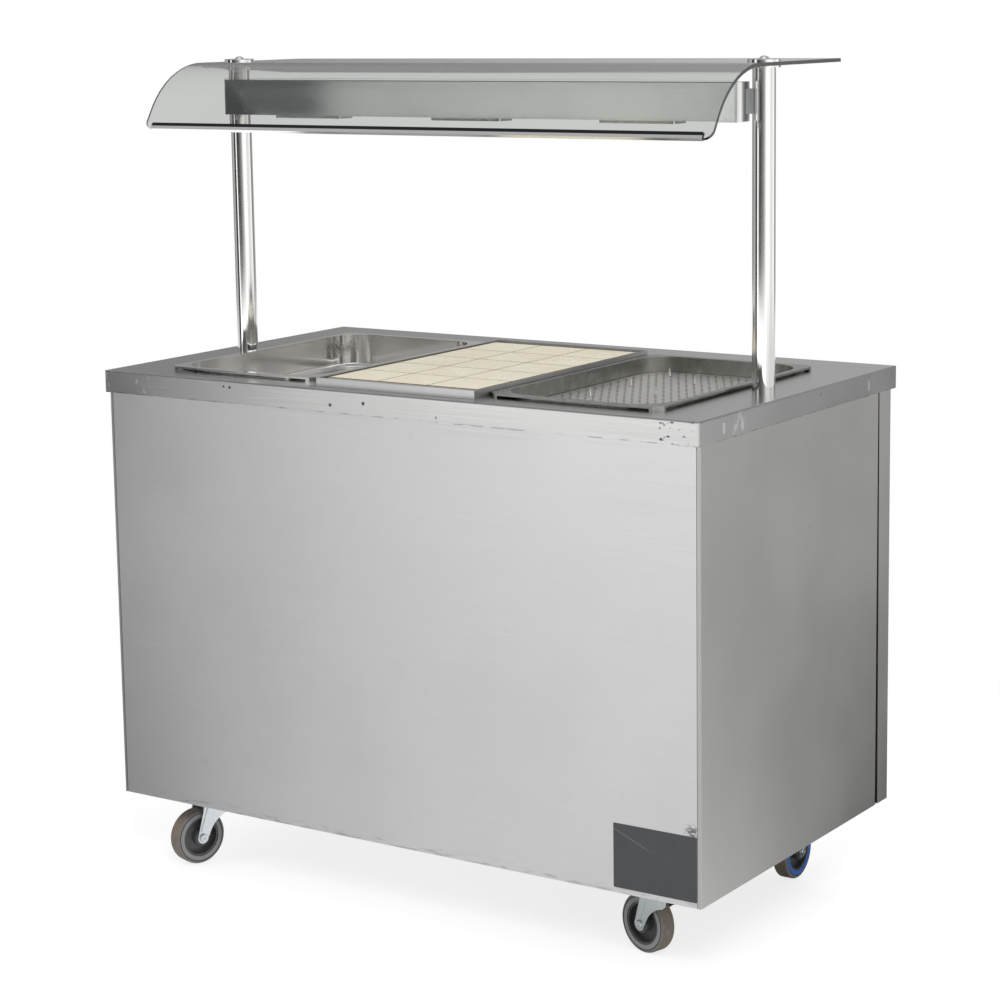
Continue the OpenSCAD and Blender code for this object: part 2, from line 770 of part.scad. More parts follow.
module control_fascia() color(steel) difference() {
  block([-open_x + fascia_gap, frame_front, fascia_z],
        [open_x - fascia_gap, fascia_face, fascia_top - fascia_gap]);
  block([-open_x + fascia_gap + panel_sheet, frame_front - cut, fascia_z + panel_sheet],
        [open_x - fascia_gap - panel_sheet, fascia_face - panel_sheet,
         fascia_top - fascia_gap - panel_sheet]);
  for (x = knob_xs) fascia_hole(x, shaft_r + shaft_hole_gap);
  for (x = pilot_xs) fascia_hole(x, pilot_r);
  fascia_hole(gland_x, gland_r + gland_wall);
  switch_block(switch_wall, fascia_face - panel_sheet - cut, fascia_face + cut);
}

// Thermostats behind the knobs, and the housing of the rocker switch with its bezel
thermostat_w = 36;
gear_d = 26;
shaft_l = 12;
shaft_end_gap = 2;
trunnion_r = 1.5;
trunnion_l = 1.2;
switch_d = 20;
bezel_w = 4;
bezel_t = 2;
rocker_gap = 0.5;
rocker_room = 12;
rocker_axis_y = fascia_face - 2;
module control_gear() color(black) {
  for (x = knob_xs) difference() {
    block([x - thermostat_w / 2, fascia_face - panel_sheet - gear_d,
           control_z - thermostat_w / 2],
          [x + thermostat_w / 2, fascia_face - panel_sheet, control_z + thermostat_w / 2]);
    on_fascia(x) translate([0, 0, -shaft_l - shaft_end_gap])
      cylinder(h = shaft_l + shaft_end_gap, r = shaft_r + running);
  }
  difference() {
    union() {
      switch_block(switch_wall, fascia_face - switch_d, fascia_face);
      switch_block(bezel_w, fascia_face, fascia_face + bezel_t);
    }
    switch_block(rocker_gap, fascia_face - rocker_room, fascia_face + bezel_t + cut);
    translate([rocker_x, rocker_axis_y, control_z - rocker_w / 2 - trunnion_l - clear])
      cylinder(h = rocker_w + 2 * (trunnion_l + clear), r = trunnion_r + running);
  }
}

// Pilot lamps: barrel, flange and tapered lens
pilot_l = 14;
pilot_flange = 2;
pilot_lens_h = 3;
module pilot_lamps() color("orange") for (x = pilot_xs) on_fascia(x) {
  translate([0, 0, -pilot_l]) cylinder(h = pilot_l + pilot_flange, r = pilot_r);
  cylinder(h = pilot_flange, r = pilot_r + pilot_flange);
  translate([0, 0, pilot_flange])
    cylinder(h = pilot_lens_h, r1 = pilot_r, r2 = pilot_r - pilot_lens_h);
}

// Thermostat knob: fluted grip on a skirt, a pointer bar and the shaft
flutes = 10;
flute_r = 5;
skirt_t = 2.5;
grip_inset = 3;
pointer_w = 3;
pointer_inset = 5;
module thermostat_knob(x) color(black) on_fascia(x) {
  difference() {
    translate([0, 0, clear]) cylinder(h = knob_l, r = knob_dia / 2 - grip_inset);
    for (i = [0:flutes - 1]) rotate([0, 0, i * 360 / flutes])
      translate([knob_dia / 2, 0, clear + skirt_t]) cylinder(h = knob_l, r = flute_r);
  }
  translate([0, 0, clear]) cylinder(h = skirt_t, r = knob_dia / 2);
  translate([-pointer_w / 2, -knob_dia / 2 + pointer_inset, knob_l])
    cube([pointer_w, knob_dia / 2 - pointer_inset, clear + 1]);
  translate([0, 0, -shaft_l]) cylinder(h = shaft_l + clear, r = shaft_r);
}

module cupboard_knob() thermostat_knob(knob_xs[0]);
module well_knob() thermostat_knob(knob_xs[1]);

// Rocker with a shallow V face, tipping about its trunnions
rocker_inset = 1;
rocker_low = 4;
rocker_middle = 2.6;
rocker_high = 6.2;
rocker_back = 2;
rocker_slope = 0.6;
rocker_keel = 3;
rocker_keel_depth = 6;
module lamp_rocker() color("#b02018") translate([rocker_x, rocker_axis_y, control_z]) {
  translate([0, 0, -rocker_w / 2]) linear_extrude(rocker_w) polygon([
    [-rocker_l / 2 + rocker_inset, rocker_low], [0, rocker_middle],
    [rocker_l / 2 - rocker_inset, rocker_high],
    [rocker_l / 2 - rocker_inset - rocker_slope, -rocker_back],
    [rocker_keel, -rocker_keel_depth], [-rocker_keel, -rocker_keel_depth],
    [-rocker_l / 2 + rocker_inset + rocker_slope, -rocker_back]]);
  translate([0, 0, -rocker_w / 2 - trunnion_l])
    cylinder(h = rocker_w + 2 * trunnion_l, r = trunnion_r);
}

// Cable entry: threaded barrel and locknut behind the fascia, hexagon body and dome
// in front of it, with an open bore
gland_barrel_l = 14;
gland_nut_t = 5;
gland_body_t = 6;
gland_dome_t = 8;
gland_l = gland_barrel_l + gland_body_t + gland_dome_t;
module cable_gland() color(black) on_fascia(gland_x) difference() {
  union() {
    translate([0, 0, -gland_barrel_l]) cylinder(h = gland_barrel_l, r = gland_r + gland_wall);
    translate([0, 0, -gland_barrel_l]) cylinder(h = gland_nut_t, r = gland_r + 2 * gland_wall, $fn = 6);
    cylinder(h = gland_body_t, r = gland_r + 2 * gland_wall, $fn = 6);
    translate([0, 0, gland_body_t])
      cylinder(h = gland_dome_t, r1 = gland_r + 1.5 * gland_wall, r2 = gland_r + gland_wall / 2);
  }
  translate([0, 0, -gland_barrel_l - cut]) cylinder(h = gland_l + 2 * cut, r = gland_r);
}

// ---- Gantry ----

plug_h = 14;
module gantry_post(x) color(bright) translate([x, post_y, 0]) difference() {
  translate([0, 0, under_top - socket_h]) cylinder(h = post_top - under_top + socket_h, r = post_r);
  translate([0, 0, under_top - socket_h - cut])
    cylinder(h = post_top - under_top + socket_h - plug_h, r = post_r - post_wall);
  translate([0, 0, post_top - plug_h - cut]) cylinder(h = plug_h + 2 * cut, r = screw_r);
}

module gantry_post_left() gantry_post(post_xs[0]);
module gantry_post_right() gantry_post(post_xs[1]);

socket_wall = 3;
socket_rim = 8;
socket_flange_r = post_r + socket_rim;
saddle_grip = 12;
saddle_h = 40;
saddle_reach = 10;

// Sockets that hold the posts under the worktop, and saddles hollowed to the posts
// that carry the lamp housing
module post_fittings() color(dark_steel) {
  for (x = post_xs) translate([x, post_y, under_top]) difference() {
    union() {
      translate([0, 0, -socket_h]) cylinder(h = socket_h, r = post_r + socket_wall);
      translate([0, 0, -socket_wall]) cylinder(h = socket_wall, r = socket_flange_r);
    }
    translate([0, 0, -socket_h - cut]) cylinder(h = socket_h + 2 * cut, r = post_r);
  }
  for (side = [-1, 1]) difference() {
    post_x = post_pitch / 2 + side * gantry_shift;
    mirror([side == 1 ? 0 : 1, 0, 0])
      block([min(housing_l / 2, post_x - post_r) - saddle_grip, housing_back,
             housing_z + (housing_h - saddle_h) / 2],
            [post_x - post_r + saddle_grip, housing_back + saddle_d + saddle_reach,
             housing_z + (housing_h + saddle_h) / 2]);
    translate([side * post_x, post_y, housing_z - cut])
      cylinder(h = housing_h + 2 * cut, r = post_r);
  }
}

lamp_xs = [-well_pitch, 0, well_pitch];
lamp_y = (housing_front + housing_back) / 2;
lamp_rim_w = 3;
lamp_rim_l = 5;
lamp_hole_w = lamp_w - 2 * lamp_rim_w;
lamp_hole_l = lamp_l - 2 * lamp_rim_l;

// Closed sheet box with a rectangular opening for each lamp
module lamp_housing() color(steel) difference() {
  block([-housing_l / 2 + housing_sheet, housing_front, housing_z],
        [housing_l / 2 - housing_sheet, housing_back, housing_z + housing_h]);
  block([-housing_l / 2, housing_front + housing_sheet, housing_z + housing_sheet],
        [housing_l / 2, housing_back - housing_sheet, housing_z + housing_h - housing_sheet]);
  for (x = lamp_xs)
    block([x - lamp_hole_l / 2, lamp_y - lamp_hole_w / 2, housing_z - cut],
          [x + lamp_hole_l / 2, lamp_y + lamp_hole_w / 2, housing_z + housing_sheet + cut]);
}

cap_grip = 12;
module housing_end_caps() color(steel) both_sides() {
  block([housing_l / 2 - housing_sheet, housing_front, housing_z],
        [housing_l / 2, housing_back, housing_z + housing_h]);
  difference() {
    block([housing_l / 2 - cap_grip, housing_front + housing_sheet, housing_z + housing_sheet],
          [housing_l / 2 - housing_sheet, housing_back - housing_sheet,
           housing_z + housing_h - housing_sheet]);
    block([housing_l / 2 - cap_grip - cut, housing_front + 2 * housing_sheet,
           housing_z + 2 * housing_sheet],
          [housing_l / 2 - housing_sheet, housing_back - 2 * housing_sheet,
           housing_z + housing_h - 2 * housing_sheet]);
  }
}

// Guard below a lamp: a flat rim with wires across the opening
guard_rim = 4;
guard_wires = 7;
wire_r = 1;
guard_corner_r = 4;
module lamp_guard(x) {
  translate([x, lamp_y, housing_z - guard_h]) linear_extrude(guard_h) difference() {
    rounded_rect(lamp_l, lamp_w, guard_corner_r);
    rounded_rect(lamp_l - 2 * guard_rim, lamp_w - 2 * guard_rim, guard_corner_r / 2);
  }
  for (i = [1:guard_wires])
    translate([x - lamp_l / 2 + i * lamp_l / (guard_wires + 1), lamp_y,
               housing_z - guard_h + 2 * wire_r])
      rotate([90, 0, 0]) cylinder(h = lamp_w - guard_rim, r = wire_r, center = true);
}

// Half-round reflectors with closed ends that hold the lamps, and their guards
reflector_r = lamp_hole_w / 2;
reflector_t = 1;
reflector_lift = 3;
reflector_z = housing_z + housing_sheet + reflector_lift;
module lamp_reflectors() color(bright) for (x = lamp_xs) {
  lamp_guard(x);
  translate([x - lamp_hole_l / 2, lamp_y, reflector_z]) rotate([90, 0, 90])
    linear_extrude(lamp_hole_l) {
      difference() {
        circle(reflector_r);
        circle(reflector_r - reflector_t);
        translate([-reflector_r - cut, -2 * reflector_r - cut])
          square([2 * reflector_r + 2 * cut, 2 * reflector_r + cut]);
      }
      for (s = [-1, 1]) translate([s * (reflector_r - reflector_t / 2) - reflector_t / 2,
                                   housing_z - reflector_z])
        square([reflector_t, reflector_z - housing_z]);
    }
  for (s = [-1, 1])
    translate([x + s * (lamp_hole_l / 2 - reflector_t / 2), lamp_y, reflector_z])
      rotate([0, 90, 0]) translate([0, 0, -reflector_t / 2]) linear_extrude(reflector_t)
        intersection() {
          circle(reflector_r - reflector_t);
          translate([-2 * reflector_r, -reflector_r]) square([2 * reflector_r, 2 * reflector_r]);
        }
}

quartz_r = 5;
quartz_end_l = 10;
quartz_end_wall = 1.5;
module heat_lamps() color("#e8d8c8") for (x = lamp_xs)
  translate([x, lamp_y, reflector_z + reflector_r / 2]) rotate([0, 90, 0]) {
    cylinder(h = lamp_hole_l - 2 * reflector_t, r = quartz_r, center = true);
    for (s = [-1, 1]) translate([0, 0, s * (lamp_hole_l / 2 - reflector_t - quartz_end_l / 2)])
      cylinder(h = quartz_end_l, r = quartz_r + quartz_end_wall, center = true);
  }

// ---- Canopy ----

// Places a shape on the straight lower edge of the glass: x along the edge,
// y down the slope and z out of the outer face
module on_canopy_tail()
  translate([0, canopy_bend_y - canopy_bend_r * sin(canopy_bend_angle),
             glass_top - canopy_bend_r + canopy_bend_r * cos(canopy_bend_angle)])
    rotate([canopy_bend_angle, 0, 0]) mirror([0, 1, 0]) children();

glass_x0 = canopy_shift - canopy_l / 2;
glass_x1 = canopy_shift + canopy_l / 2;

// Quarter of a square left outside a circle, to round a corner at the origin
module corner_waste(r) difference() {
  translate([-cut, -cut]) square(r + cut);
  translate([r, r]) circle(r);
}

// Points of the bend at radius r, turned from the top towards the front
bend_steps = 40;
function bend_points(r) = [for (i = [0:bend_steps])
  let (a = i * canopy_bend_angle / bend_steps)
  [canopy_bend_y - r * sin(a), glass_top - canopy_bend_r + r * cos(a)]];
tail_run = canopy_tail * [-cos(canopy_bend_angle), -sin(canopy_bend_angle)];

module glass_section() {
  outer = bend_points(canopy_bend_r);
  inner = bend_points(canopy_bend_r - glass_t);
  polygon(concat([[canopy_back, glass_top]], outer,
                 [outer[bend_steps] + tail_run, inner[bend_steps] + tail_run],
                 [for (i = [bend_steps:-1:0]) inner[i]],
                 [[canopy_back, glass_top - glass_t]]));
}

module glass_canopy() color("#9fb3ad", 0.45) difference() {
  translate([glass_x0, 0, 0]) rotate([90, 0, 90]) linear_extrude(canopy_l) glass_section();
  on_canopy_tail() for (x = [glass_x0, glass_x1])
    translate([x, canopy_tail, -glass_t - cut]) linear_extrude(glass_t + 2 * cut)
      mirror([x == glass_x0 ? 0 : 1, 0]) mirror([0, 1]) corner_waste(canopy_corner_r);
  for (x = [glass_x0, glass_x1])
    translate([x, canopy_back, glass_top - glass_t - cut]) linear_extrude(glass_t + 2 * cut)
      mirror([x == glass_x0 ? 0 : 1, 0]) mirror([0, 1]) corner_waste(canopy_corner_r / 2);
  for (x = post_xs) translate([x, post_y, glass_top - glass_t - cut])
    cylinder(h = glass_t + 2 * cut, r = screw_r);
}

// U-shaped trim glued around the lower edge, between the rounded corners
trim_l = canopy_l - 2 * canopy_corner_r;
module canopy_trim() color(bright) on_canopy_tail()
  translate([glass_x0 + canopy_corner_r, canopy_tail - trim_leg, 0]) difference() {
    translate([0, 0, -glass_t - glue - trim_sheet])
      cube([trim_l, trim_leg + glue + trim_sheet, glass_t + 2 * (glue + trim_sheet)]);
    translate([-cut, -cut, -glass_t - glue])
      cube([trim_l + 2 * cut, trim_leg + glue + cut, glass_t + 2 * glue]);
  }

// Washer below the glass, disc and domed screw above it, at each post
dome_r = 9;
dome_arc_r = 10.35;
dome_arc_drop = 5.4;
dome_socket_r = 3;
dome_socket_z = 2;
disc_edge = 1.5;
screw_end_gap = 2;
screw_z = post_top - plug_h + screw_end_gap;
module canopy_fixings() color(bright) for (x = post_xs) translate([x, post_y, 0]) {
  difference() {
    translate([0, 0, post_top]) cylinder(h = washer_t, r = disc_dia / 2);
    translate([0, 0, post_top - cut]) cylinder(h = washer_t + 2 * cut, r = screw_r);
  }
  difference() {
    translate([0, 0, glass_top]) soft_disc(disc_dia / 2, disc_t, disc_edge);
    translate([0, 0, glass_top - cut]) cylinder(h = disc_t + 2 * cut, r = screw_r);
  }
  translate([0, 0, screw_z]) cylinder(h = glass_top + disc_t - screw_z, r = screw_r);
  translate([0, 0, glass_top + disc_t]) difference() {
    rotate_extrude() intersection() {
      translate([0, -dome_arc_drop]) circle(dome_arc_r);
      square([dome_r, dome_r]);
    }
    translate([0, 0, dome_socket_z]) cylinder(h = dome_r, r = dome_socket_r, $fn = 6);
  }
}

// ---- Food pans and tile tray ----

// Rim outline with its corners cut off
module rim_outline(w, l, chamfer) polygon([
  [-w / 2 + chamfer, -l / 2], [w / 2 - chamfer, -l / 2], [w / 2, -l / 2 + chamfer],
  [w / 2, l / 2 - chamfer], [w / 2 - chamfer, l / 2], [-w / 2 + chamfer, l / 2],
  [-w / 2, l / 2 - chamfer], [-w / 2, -l / 2 + chamfer]]);

module rim_ring() difference() {
  rim_outline(pan_w, pan_l, rim_chamfer);
  rim_outline(pan_w - 2 * pan_sheet, pan_l - 2 * pan_sheet, rim_chamfer - pan_sheet);
}

// Food pan whose rim is turned down: a lip along the sides, feet at the corners
rim_foot = 6;
module food_pan(x) translate([x, well_y, 0]) difference() {
  union() {
    translate([0, 0, pan_z0])
      basin(pan_open_w, pan_open_l, pan_depth, pan_corner_r, pan_fillet);
    translate([0, 0, top_z + rim_h - pan_sheet]) linear_extrude(pan_sheet)
      rim_outline(pan_w, pan_l, rim_chamfer);
    translate([0, 0, top_z + rim_h - lip_h]) linear_extrude(lip_h) rim_ring();
    translate([0, 0, top_z]) linear_extrude(rim_h) difference() {
      rim_ring();
      square([pan_w + cut, pan_l - 2 * (rim_chamfer + rim_foot)], center = true);
      square([pan_w - 2 * (rim_chamfer + rim_foot), pan_l + cut], center = true);
    }
  }
  translate([0, 0, pan_z0 + pan_sheet])
    basin(pan_open_w - 2 * pan_sheet, pan_open_l - 2 * pan_sheet, pan_depth,
          pan_corner_r - pan_sheet, pan_fillet - pan_sheet);
}

module left_pan() color(bright) food_pan(-well_pitch);
module carving_pan() color(dark_steel) food_pan(well_pitch);

// Staggered grid of points inside a rounded rectangle
function grid_points(w, l, pitch) = [
  for (j = [-floor(l / (pitch * sqrt(3))):floor(l / (pitch * sqrt(3)))],
       i = [-floor(w / pitch):floor(w / pitch)])
    let (x = (i + (j % 2 == 0 ? 0 : 0.5)) * pitch, y = j * pitch * sqrt(3) / 2)
    if (abs(x) < w / 2 && abs(y) < l / 2 && !in_corner(x, y, w, l)) [x, y]];
function in_corner(x, y, w, l) =
  let (dx = abs(x) - (w / 2 - pan_corner_r), dy = abs(y) - (l / 2 - pan_corner_r))
  dx > 0 && dy > 0 && norm([dx, dy]) > pan_corner_r;

// Spikes in staggered columns: four, three and four
spikes = [for (c = [-1:1], r = [0:c == 0 ? 2 : 3])
  [c * spike_pitch_x, (r - (c == 0 ? 1 : 1.5)) * spike_pitch_y]];

plate_w = pan_open_w - 2 * pan_sheet - 2 * plate_gap;
plate_l = pan_open_l - 2 * pan_sheet - 2 * plate_gap;
plate_foot_r = 5;
plate_foot_inset = 20;
perf_margin = 12;
spike_tip_r = 0.3;
module spike_plate() color(bright) translate([well_pitch, well_y, 0]) {
  translate([0, 0, plate_top - plate_t]) linear_extrude(plate_t) difference() {
    rounded_rect(plate_w, plate_l, pan_corner_r - pan_sheet - plate_gap);
    for (p = grid_points(plate_w - 2 * perf_margin, plate_l - 2 * perf_margin, perf_pitch))
      translate(p) circle(perf_dia / 2);
  }
  for (p = spikes) translate([p[0], p[1], plate_top])
    cylinder(h = spike_h, r1 = spike_dia / 2, r2 = spike_tip_r);
  for (x = [-1, 1], y = [-1, 1])
    translate([x * (plate_w / 2 - pan_corner_r), y * (plate_l / 2 - plate_foot_inset), pan_z0 + pan_sheet])
      cylinder(h = plate_top - plate_t - pan_z0 - pan_sheet, r = plate_foot_r);
}

module tile_tray() color(dark_steel) translate([tray_x, tray_y, top_z]) difference() {
  cube([tray_w, tray_l, tray_h]);
  translate([tray_sheet, tray_sheet, tray_sheet])
    cube([tray_w - 2 * tray_sheet, tray_l - 2 * tray_sheet, tray_h]);
}

// Places a shape under each tile, on the top of the bed
tile_cols = 3;
tile_rows = 5;
tile_pitch = tile_size + grout_w;
module at_tiles()
  translate([tray_x + tray_w / 2, tray_y + tray_l / 2, top_z + tray_sheet + bed_t])
    for (i = [0:tile_cols - 1], j = [0:tile_rows - 1])
      translate([(i - (tile_cols - 1) / 2) * tile_pitch, (j - (tile_rows - 1) / 2) * tile_pitch, 0])
        children();

tile_corner_r = 1.5;
module tile_outline() rounded_rect(tile_size, tile_size, tile_corner_r);
module tiles() color(cream) at_tiles() linear_extrude(tile_t) tile_outline();

// Bed under the tiles and the grout between and around them
module tile_bed() color("#7a6a55") difference() {
  union() {
    translate([tray_x + tray_sheet, tray_y + tray_sheet, top_z + tray_sheet])
      cube([tray_w - 2 * tray_sheet, tray_l - 2 * tray_sheet, bed_t]);
    translate([tray_x + tray_w / 2, tray_y + tray_l / 2, top_z + tray_sheet])
      linear_extrude(bed_t + tile_t - joint_drop)
        square([tile_cols * tile_pitch + grout_w, tile_rows * tile_pitch + grout_w], center = true);
  }
  at_tiles() linear_extrude(tile_t + cut) tile_outline();
}

// ---- Castors ----

// Frame of one castor: origin under the swivel axis, +X in the rolling direction
module at_caster(i)
  translate([CASTERS[i][0] * caster_pitch_x / 2, CASTERS[i][1] * caster_pitch_y / 2, 0])
    rotate([0, 0, CASTERS[i][2]]) children();

caster_plate_t = 3;
caster_plate_l = 104;
caster_plate_w = 84;
caster_plate_r = 8;
plate_z = caster_h - caster_plate_t;
race_r = 26;
race_t = 6;
crown_t = 3;
race_top = crown_z + crown_t + race_t;
kingpin_nut_h = 7;
kingpin_nut_wall = 3.5;
bolt_nut_h = 5;
bolt_nut_wall = 2.5;
bolt_end = 6;
bolt_l = pan_floor_top + frame_sheet + bolt_end - plate_z;
module caster_plates() color(zinc) {
  for (c = CASTERS) translate([c[0] * caster_pitch_x / 2, c[1] * caster_pitch_y / 2, 0]) {
    translate([0, 0, plate_z]) linear_extrude(caster_plate_t)
      rounded_rect(caster_plate_l, caster_plate_w, caster_plate_r);
    translate([0, 0, race_top + clear]) cylinder(h = plate_z - race_top - clear, r = race_r);
    translate([0, 0, crown_z - kingpin_nut_h])
      cylinder(h = plate_z - crown_z + kingpin_nut_h, r = kingpin_r);
    translate([0, 0, crown_z - kingpin_nut_h])
      cylinder(h = kingpin_nut_h - clear, r = kingpin_r + kingpin_nut_wall, $fn = 6);
  }
  at_caster_bolts() {
    translate([0, 0, plate_z - bolt_nut_h])
      cylinder(h = bolt_nut_h, r = bolt_r + bolt_nut_wall, $fn = 6);
    translate([0, 0, plate_z]) cylinder(h = bolt_l, r = bolt_r);
    translate([0, 0, pan_floor_top + frame_sheet])
      cylinder(h = bolt_end, r = bolt_r + bolt_nut_wall, $fn = 6);
  }
}

// Fork leg seen from the side: swept back to the axle, with a scooped front edge
crown_back = 30;
crown_front = 28;
crown_rim = 4;
axle_eye_r = 11;
leg_front_drop = 12;
leg_front_taper = 4;
leg_scoop = [30, 36];
leg_scoop_r = 54;
module leg_outline() {
  difference() {
    polygon([[-crown_back, crown_z + crown_t], [crown_front, crown_z + crown_t],
             [crown_front - leg_front_taper, crown_z - leg_front_drop],
             [-caster_trail + axle_eye_r, wheel_r], [-caster_trail - axle_eye_r, wheel_r]]);
    translate(leg_scoop) circle(leg_scoop_r);
  }
  translate([-caster_trail, wheel_r]) circle(axle_eye_r);
}

// Fork leg with the pressed rib on its outer face
rib_w = 9;
rib_t = 1.5;
rib_x = -24;
module fork_leg() {
  linear_extrude(fork_sheet) leg_outline();
  linear_extrude(fork_sheet + rib_t)
    polygon([[rib_x, crown_z], [rib_x + rib_w, crown_z],
             [-caster_trail + rib_w / 2, wheel_r + axle_eye_r],
             [-caster_trail - rib_w / 2, wheel_r + axle_eye_r]]);
}

// Fork: crown with the lower race, two swept legs, and the axle with its rivet heads
axle_head_r = 7.5;
axle_head_h = 4;
axle_head_edge = 2;
axle_dish_r = 3.5;
axle_dish_d = 1;
pedal_pin_r = 3;
pedal_x = 14;
pedal_drop = 8;
pedal_z = crown_z - pedal_drop;
module caster_fork(i, braked) color(zinc) at_caster(i) {
  difference() {
    union() {
      block([-crown_back, -fork_in, crown_z], [crown_front, fork_in, crown_z + crown_t]);
      translate([0, 0, crown_z]) cylinder(h = crown_t, r = race_r + crown_rim);
      translate([0, 0, crown_z + crown_t]) cylinder(h = race_t, r = race_r);
      for (s = [-1, 1]) mirror([0, s == 1 ? 1 : 0, 0])
        translate([0, -fork_in, 0]) rotate([90, 0, 0]) fork_leg();
    }
    translate([0, 0, crown_z - cut])
      cylinder(h = crown_t + race_t + 2 * cut, r = kingpin_r + running);
  }
  translate([-caster_trail, 0, wheel_r]) rotate([90, 0, 0]) {
    cylinder(h = 2 * fork_in, r = axle_r, center = true);
    for (s = [0, 1]) mirror([0, 0, s]) translate([0, 0, fork_in + fork_sheet]) difference() {
      soft_disc(axle_head_r, axle_head_h, axle_head_edge);
      translate([0, 0, axle_head_h - axle_dish_d])
        cylinder(h = axle_dish_d + cut, r1 = axle_dish_r / 2, r2 = axle_dish_r);
    }
  }
  if (braked) translate([pedal_x, 0, pedal_z]) rotate([90, 0, 0])
    cylinder(h = 2 * fork_in, r = pedal_pin_r, center = true);
}

// Wheel: a dished hub with a plain bore, and a tyre with rounded shoulders and a
// groove around each side
hub_r = wheel_r - tyre_t;
hub_boss = 9;
hub_side_gap = 0.5;
hub_rim_t = 4;
hub_rim_inset = 1;
web_boss_t = 12;
web_rim_t = 5;
module hub_section() {
  bore = axle_r + running;
  translate([bore, -fork_in + hub_side_gap]) square([hub_boss, 2 * (fork_in - hub_side_gap)]);
  polygon([[bore, -web_boss_t / 2], [hub_r, -web_rim_t / 2],
           [hub_r, web_rim_t / 2], [bore, web_boss_t / 2]]);
  translate([hub_r - hub_rim_t, -tyre_w / 2 + hub_rim_inset])
    square([hub_rim_t, tyre_w - 2 * hub_rim_inset]);
}

tyre_shoulder = 5;
groove_w = 1.2;
groove_d = 1;
module tyre_section() difference() {
  union() {
    translate([hub_r, -tyre_w / 2]) square([tyre_t - tyre_shoulder, tyre_w]);
    translate([hub_r, -tyre_w / 2 + tyre_shoulder]) square([tyre_t, tyre_w - 2 * tyre_shoulder]);
    for (y = [-1, 1])
      translate([wheel_r - tyre_shoulder, y * (tyre_w / 2 - tyre_shoulder)]) circle(tyre_shoulder);
  }
  for (y = [-tyre_w / 2 - cut, tyre_w / 2 - groove_d])
    translate([wheel_r - tyre_shoulder - groove_w, y]) square([groove_w, groove_d + cut]);
}

module on_axle(i) at_caster(i) translate([-caster_trail, 0, wheel_r]) rotate([90, 0, 0]) children();

module caster_hub(i) color(black) on_axle(i) rotate_extrude() hub_section();
module caster_tyre(i) color("#8a8780") on_axle(i) rotate_extrude() tyre_section();

module caster_fl_fork() caster_fork(0, false);
module caster_fr_fork() caster_fork(1, false);
module caster_rl_fork() caster_fork(2, true);
module caster_rr_fork() caster_fork(3, true);
module caster_fl_hub() caster_hub(0);
module caster_fl_tyre() caster_tyre(0);
module caster_fr_hub() caster_hub(1);
module caster_fr_tyre() caster_tyre(1);
module caster_rl_hub() caster_hub(2);
module caster_rl_tyre() caster_tyre(2);
module caster_rr_hub() caster_hub(3);
module caster_rr_tyre() caster_tyre(3);

// Brake pedal on its pin between the fork legs, with a shoe over the tyre
pedal_w = 2 * fork_in - 2;
pedal_t = 3;
pedal_wall = 2.5;
pedal_arm = 26;
tread_l = 26;
tread_overlap = 2;
tread_side = 4;
tread_lip = 4;
shoe_reach = 8;
shoe_w = 6;
shoe_angle = 225;
tread_x = pedal_arm - tread_overlap;
tread_y = -pedal_t - 1;
tread_z = -pedal_w / 2 - tread_side;
module brake_pedal(i) color("#3c5a3c") at_caster(i) translate([pedal_x, 0, pedal_z]) rotate([90, 0, 0])
  difference() {
    union() {
      translate([0, 0, -pedal_w / 2]) linear_extrude(pedal_w) {
        circle(pedal_pin_r + pedal_wall);
        translate([0, tread_y]) square([pedal_arm, pedal_t]);
        rotate(shoe_angle) translate([pedal_pin_r, -shoe_w / 2]) square([shoe_reach, shoe_w]);
      }
      translate([tread_x, tread_y, tread_z]) cube([tread_l, pedal_t, pedal_w + 2 * tread_side]);
      translate([tread_x + tread_l - tread_lip, tread_y, tread_z])
        cube([tread_lip, 2 * pedal_t, pedal_w + 2 * tread_side]);
    }
    translate([0, 0, -pedal_w / 2 - cut])
      cylinder(h = pedal_w + 2 * cut, r = pedal_pin_r + running);
  }

module brake_pedal_left() brake_pedal(2);
module brake_pedal_right() brake_pedal(3);

worktop();
front_panel();
side_panel_left();
side_panel_right();
base_pan();
chassis_rails();
back_bulkhead();
rear_frame();
cupboard_liner();
shelf();
well_tanks();
heating_elements();
control_fascia();
control_gear();
pilot_lamps();
cable_gland();
door_fittings();
gantry_post_left();
gantry_post_right();
post_fittings();
lamp_housing();
housing_end_caps();
lamp_reflectors();
heat_lamps();
glass_canopy();
canopy_trim();
canopy_fixings();
caster_plates();
left_pan();
carving_pan();
spike_plate();
tile_tray();
tile_bed();
tiles();
door_left_shell();
door_left_liner();
door_left_seal();
door_left_handle();
door_right_shell();
door_right_liner();
door_right_seal();
door_right_handle();
cupboard_knob();
well_knob();
lamp_rocker();
caster_fl_fork();
caster_fl_hub();
caster_fl_tyre();
caster_fr_fork();
caster_fr_hub();
caster_fr_tyre();
caster_rl_fork();
caster_rl_hub();
caster_rl_tyre();
caster_rr_fork();
caster_rr_hub();
caster_rr_tyre();
brake_pedal_left();
brake_pedal_right();
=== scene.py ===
"""Looks of the heated carvery trolley: studio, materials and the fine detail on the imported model.

Everything is in metres, in the model's own frame: +Z up, the front panel towards -Y. Small pieces are
laid out in millimetres, and class Stack turns them into metres.
"""
import math

import bpy
from mathutils import Matrix, Vector


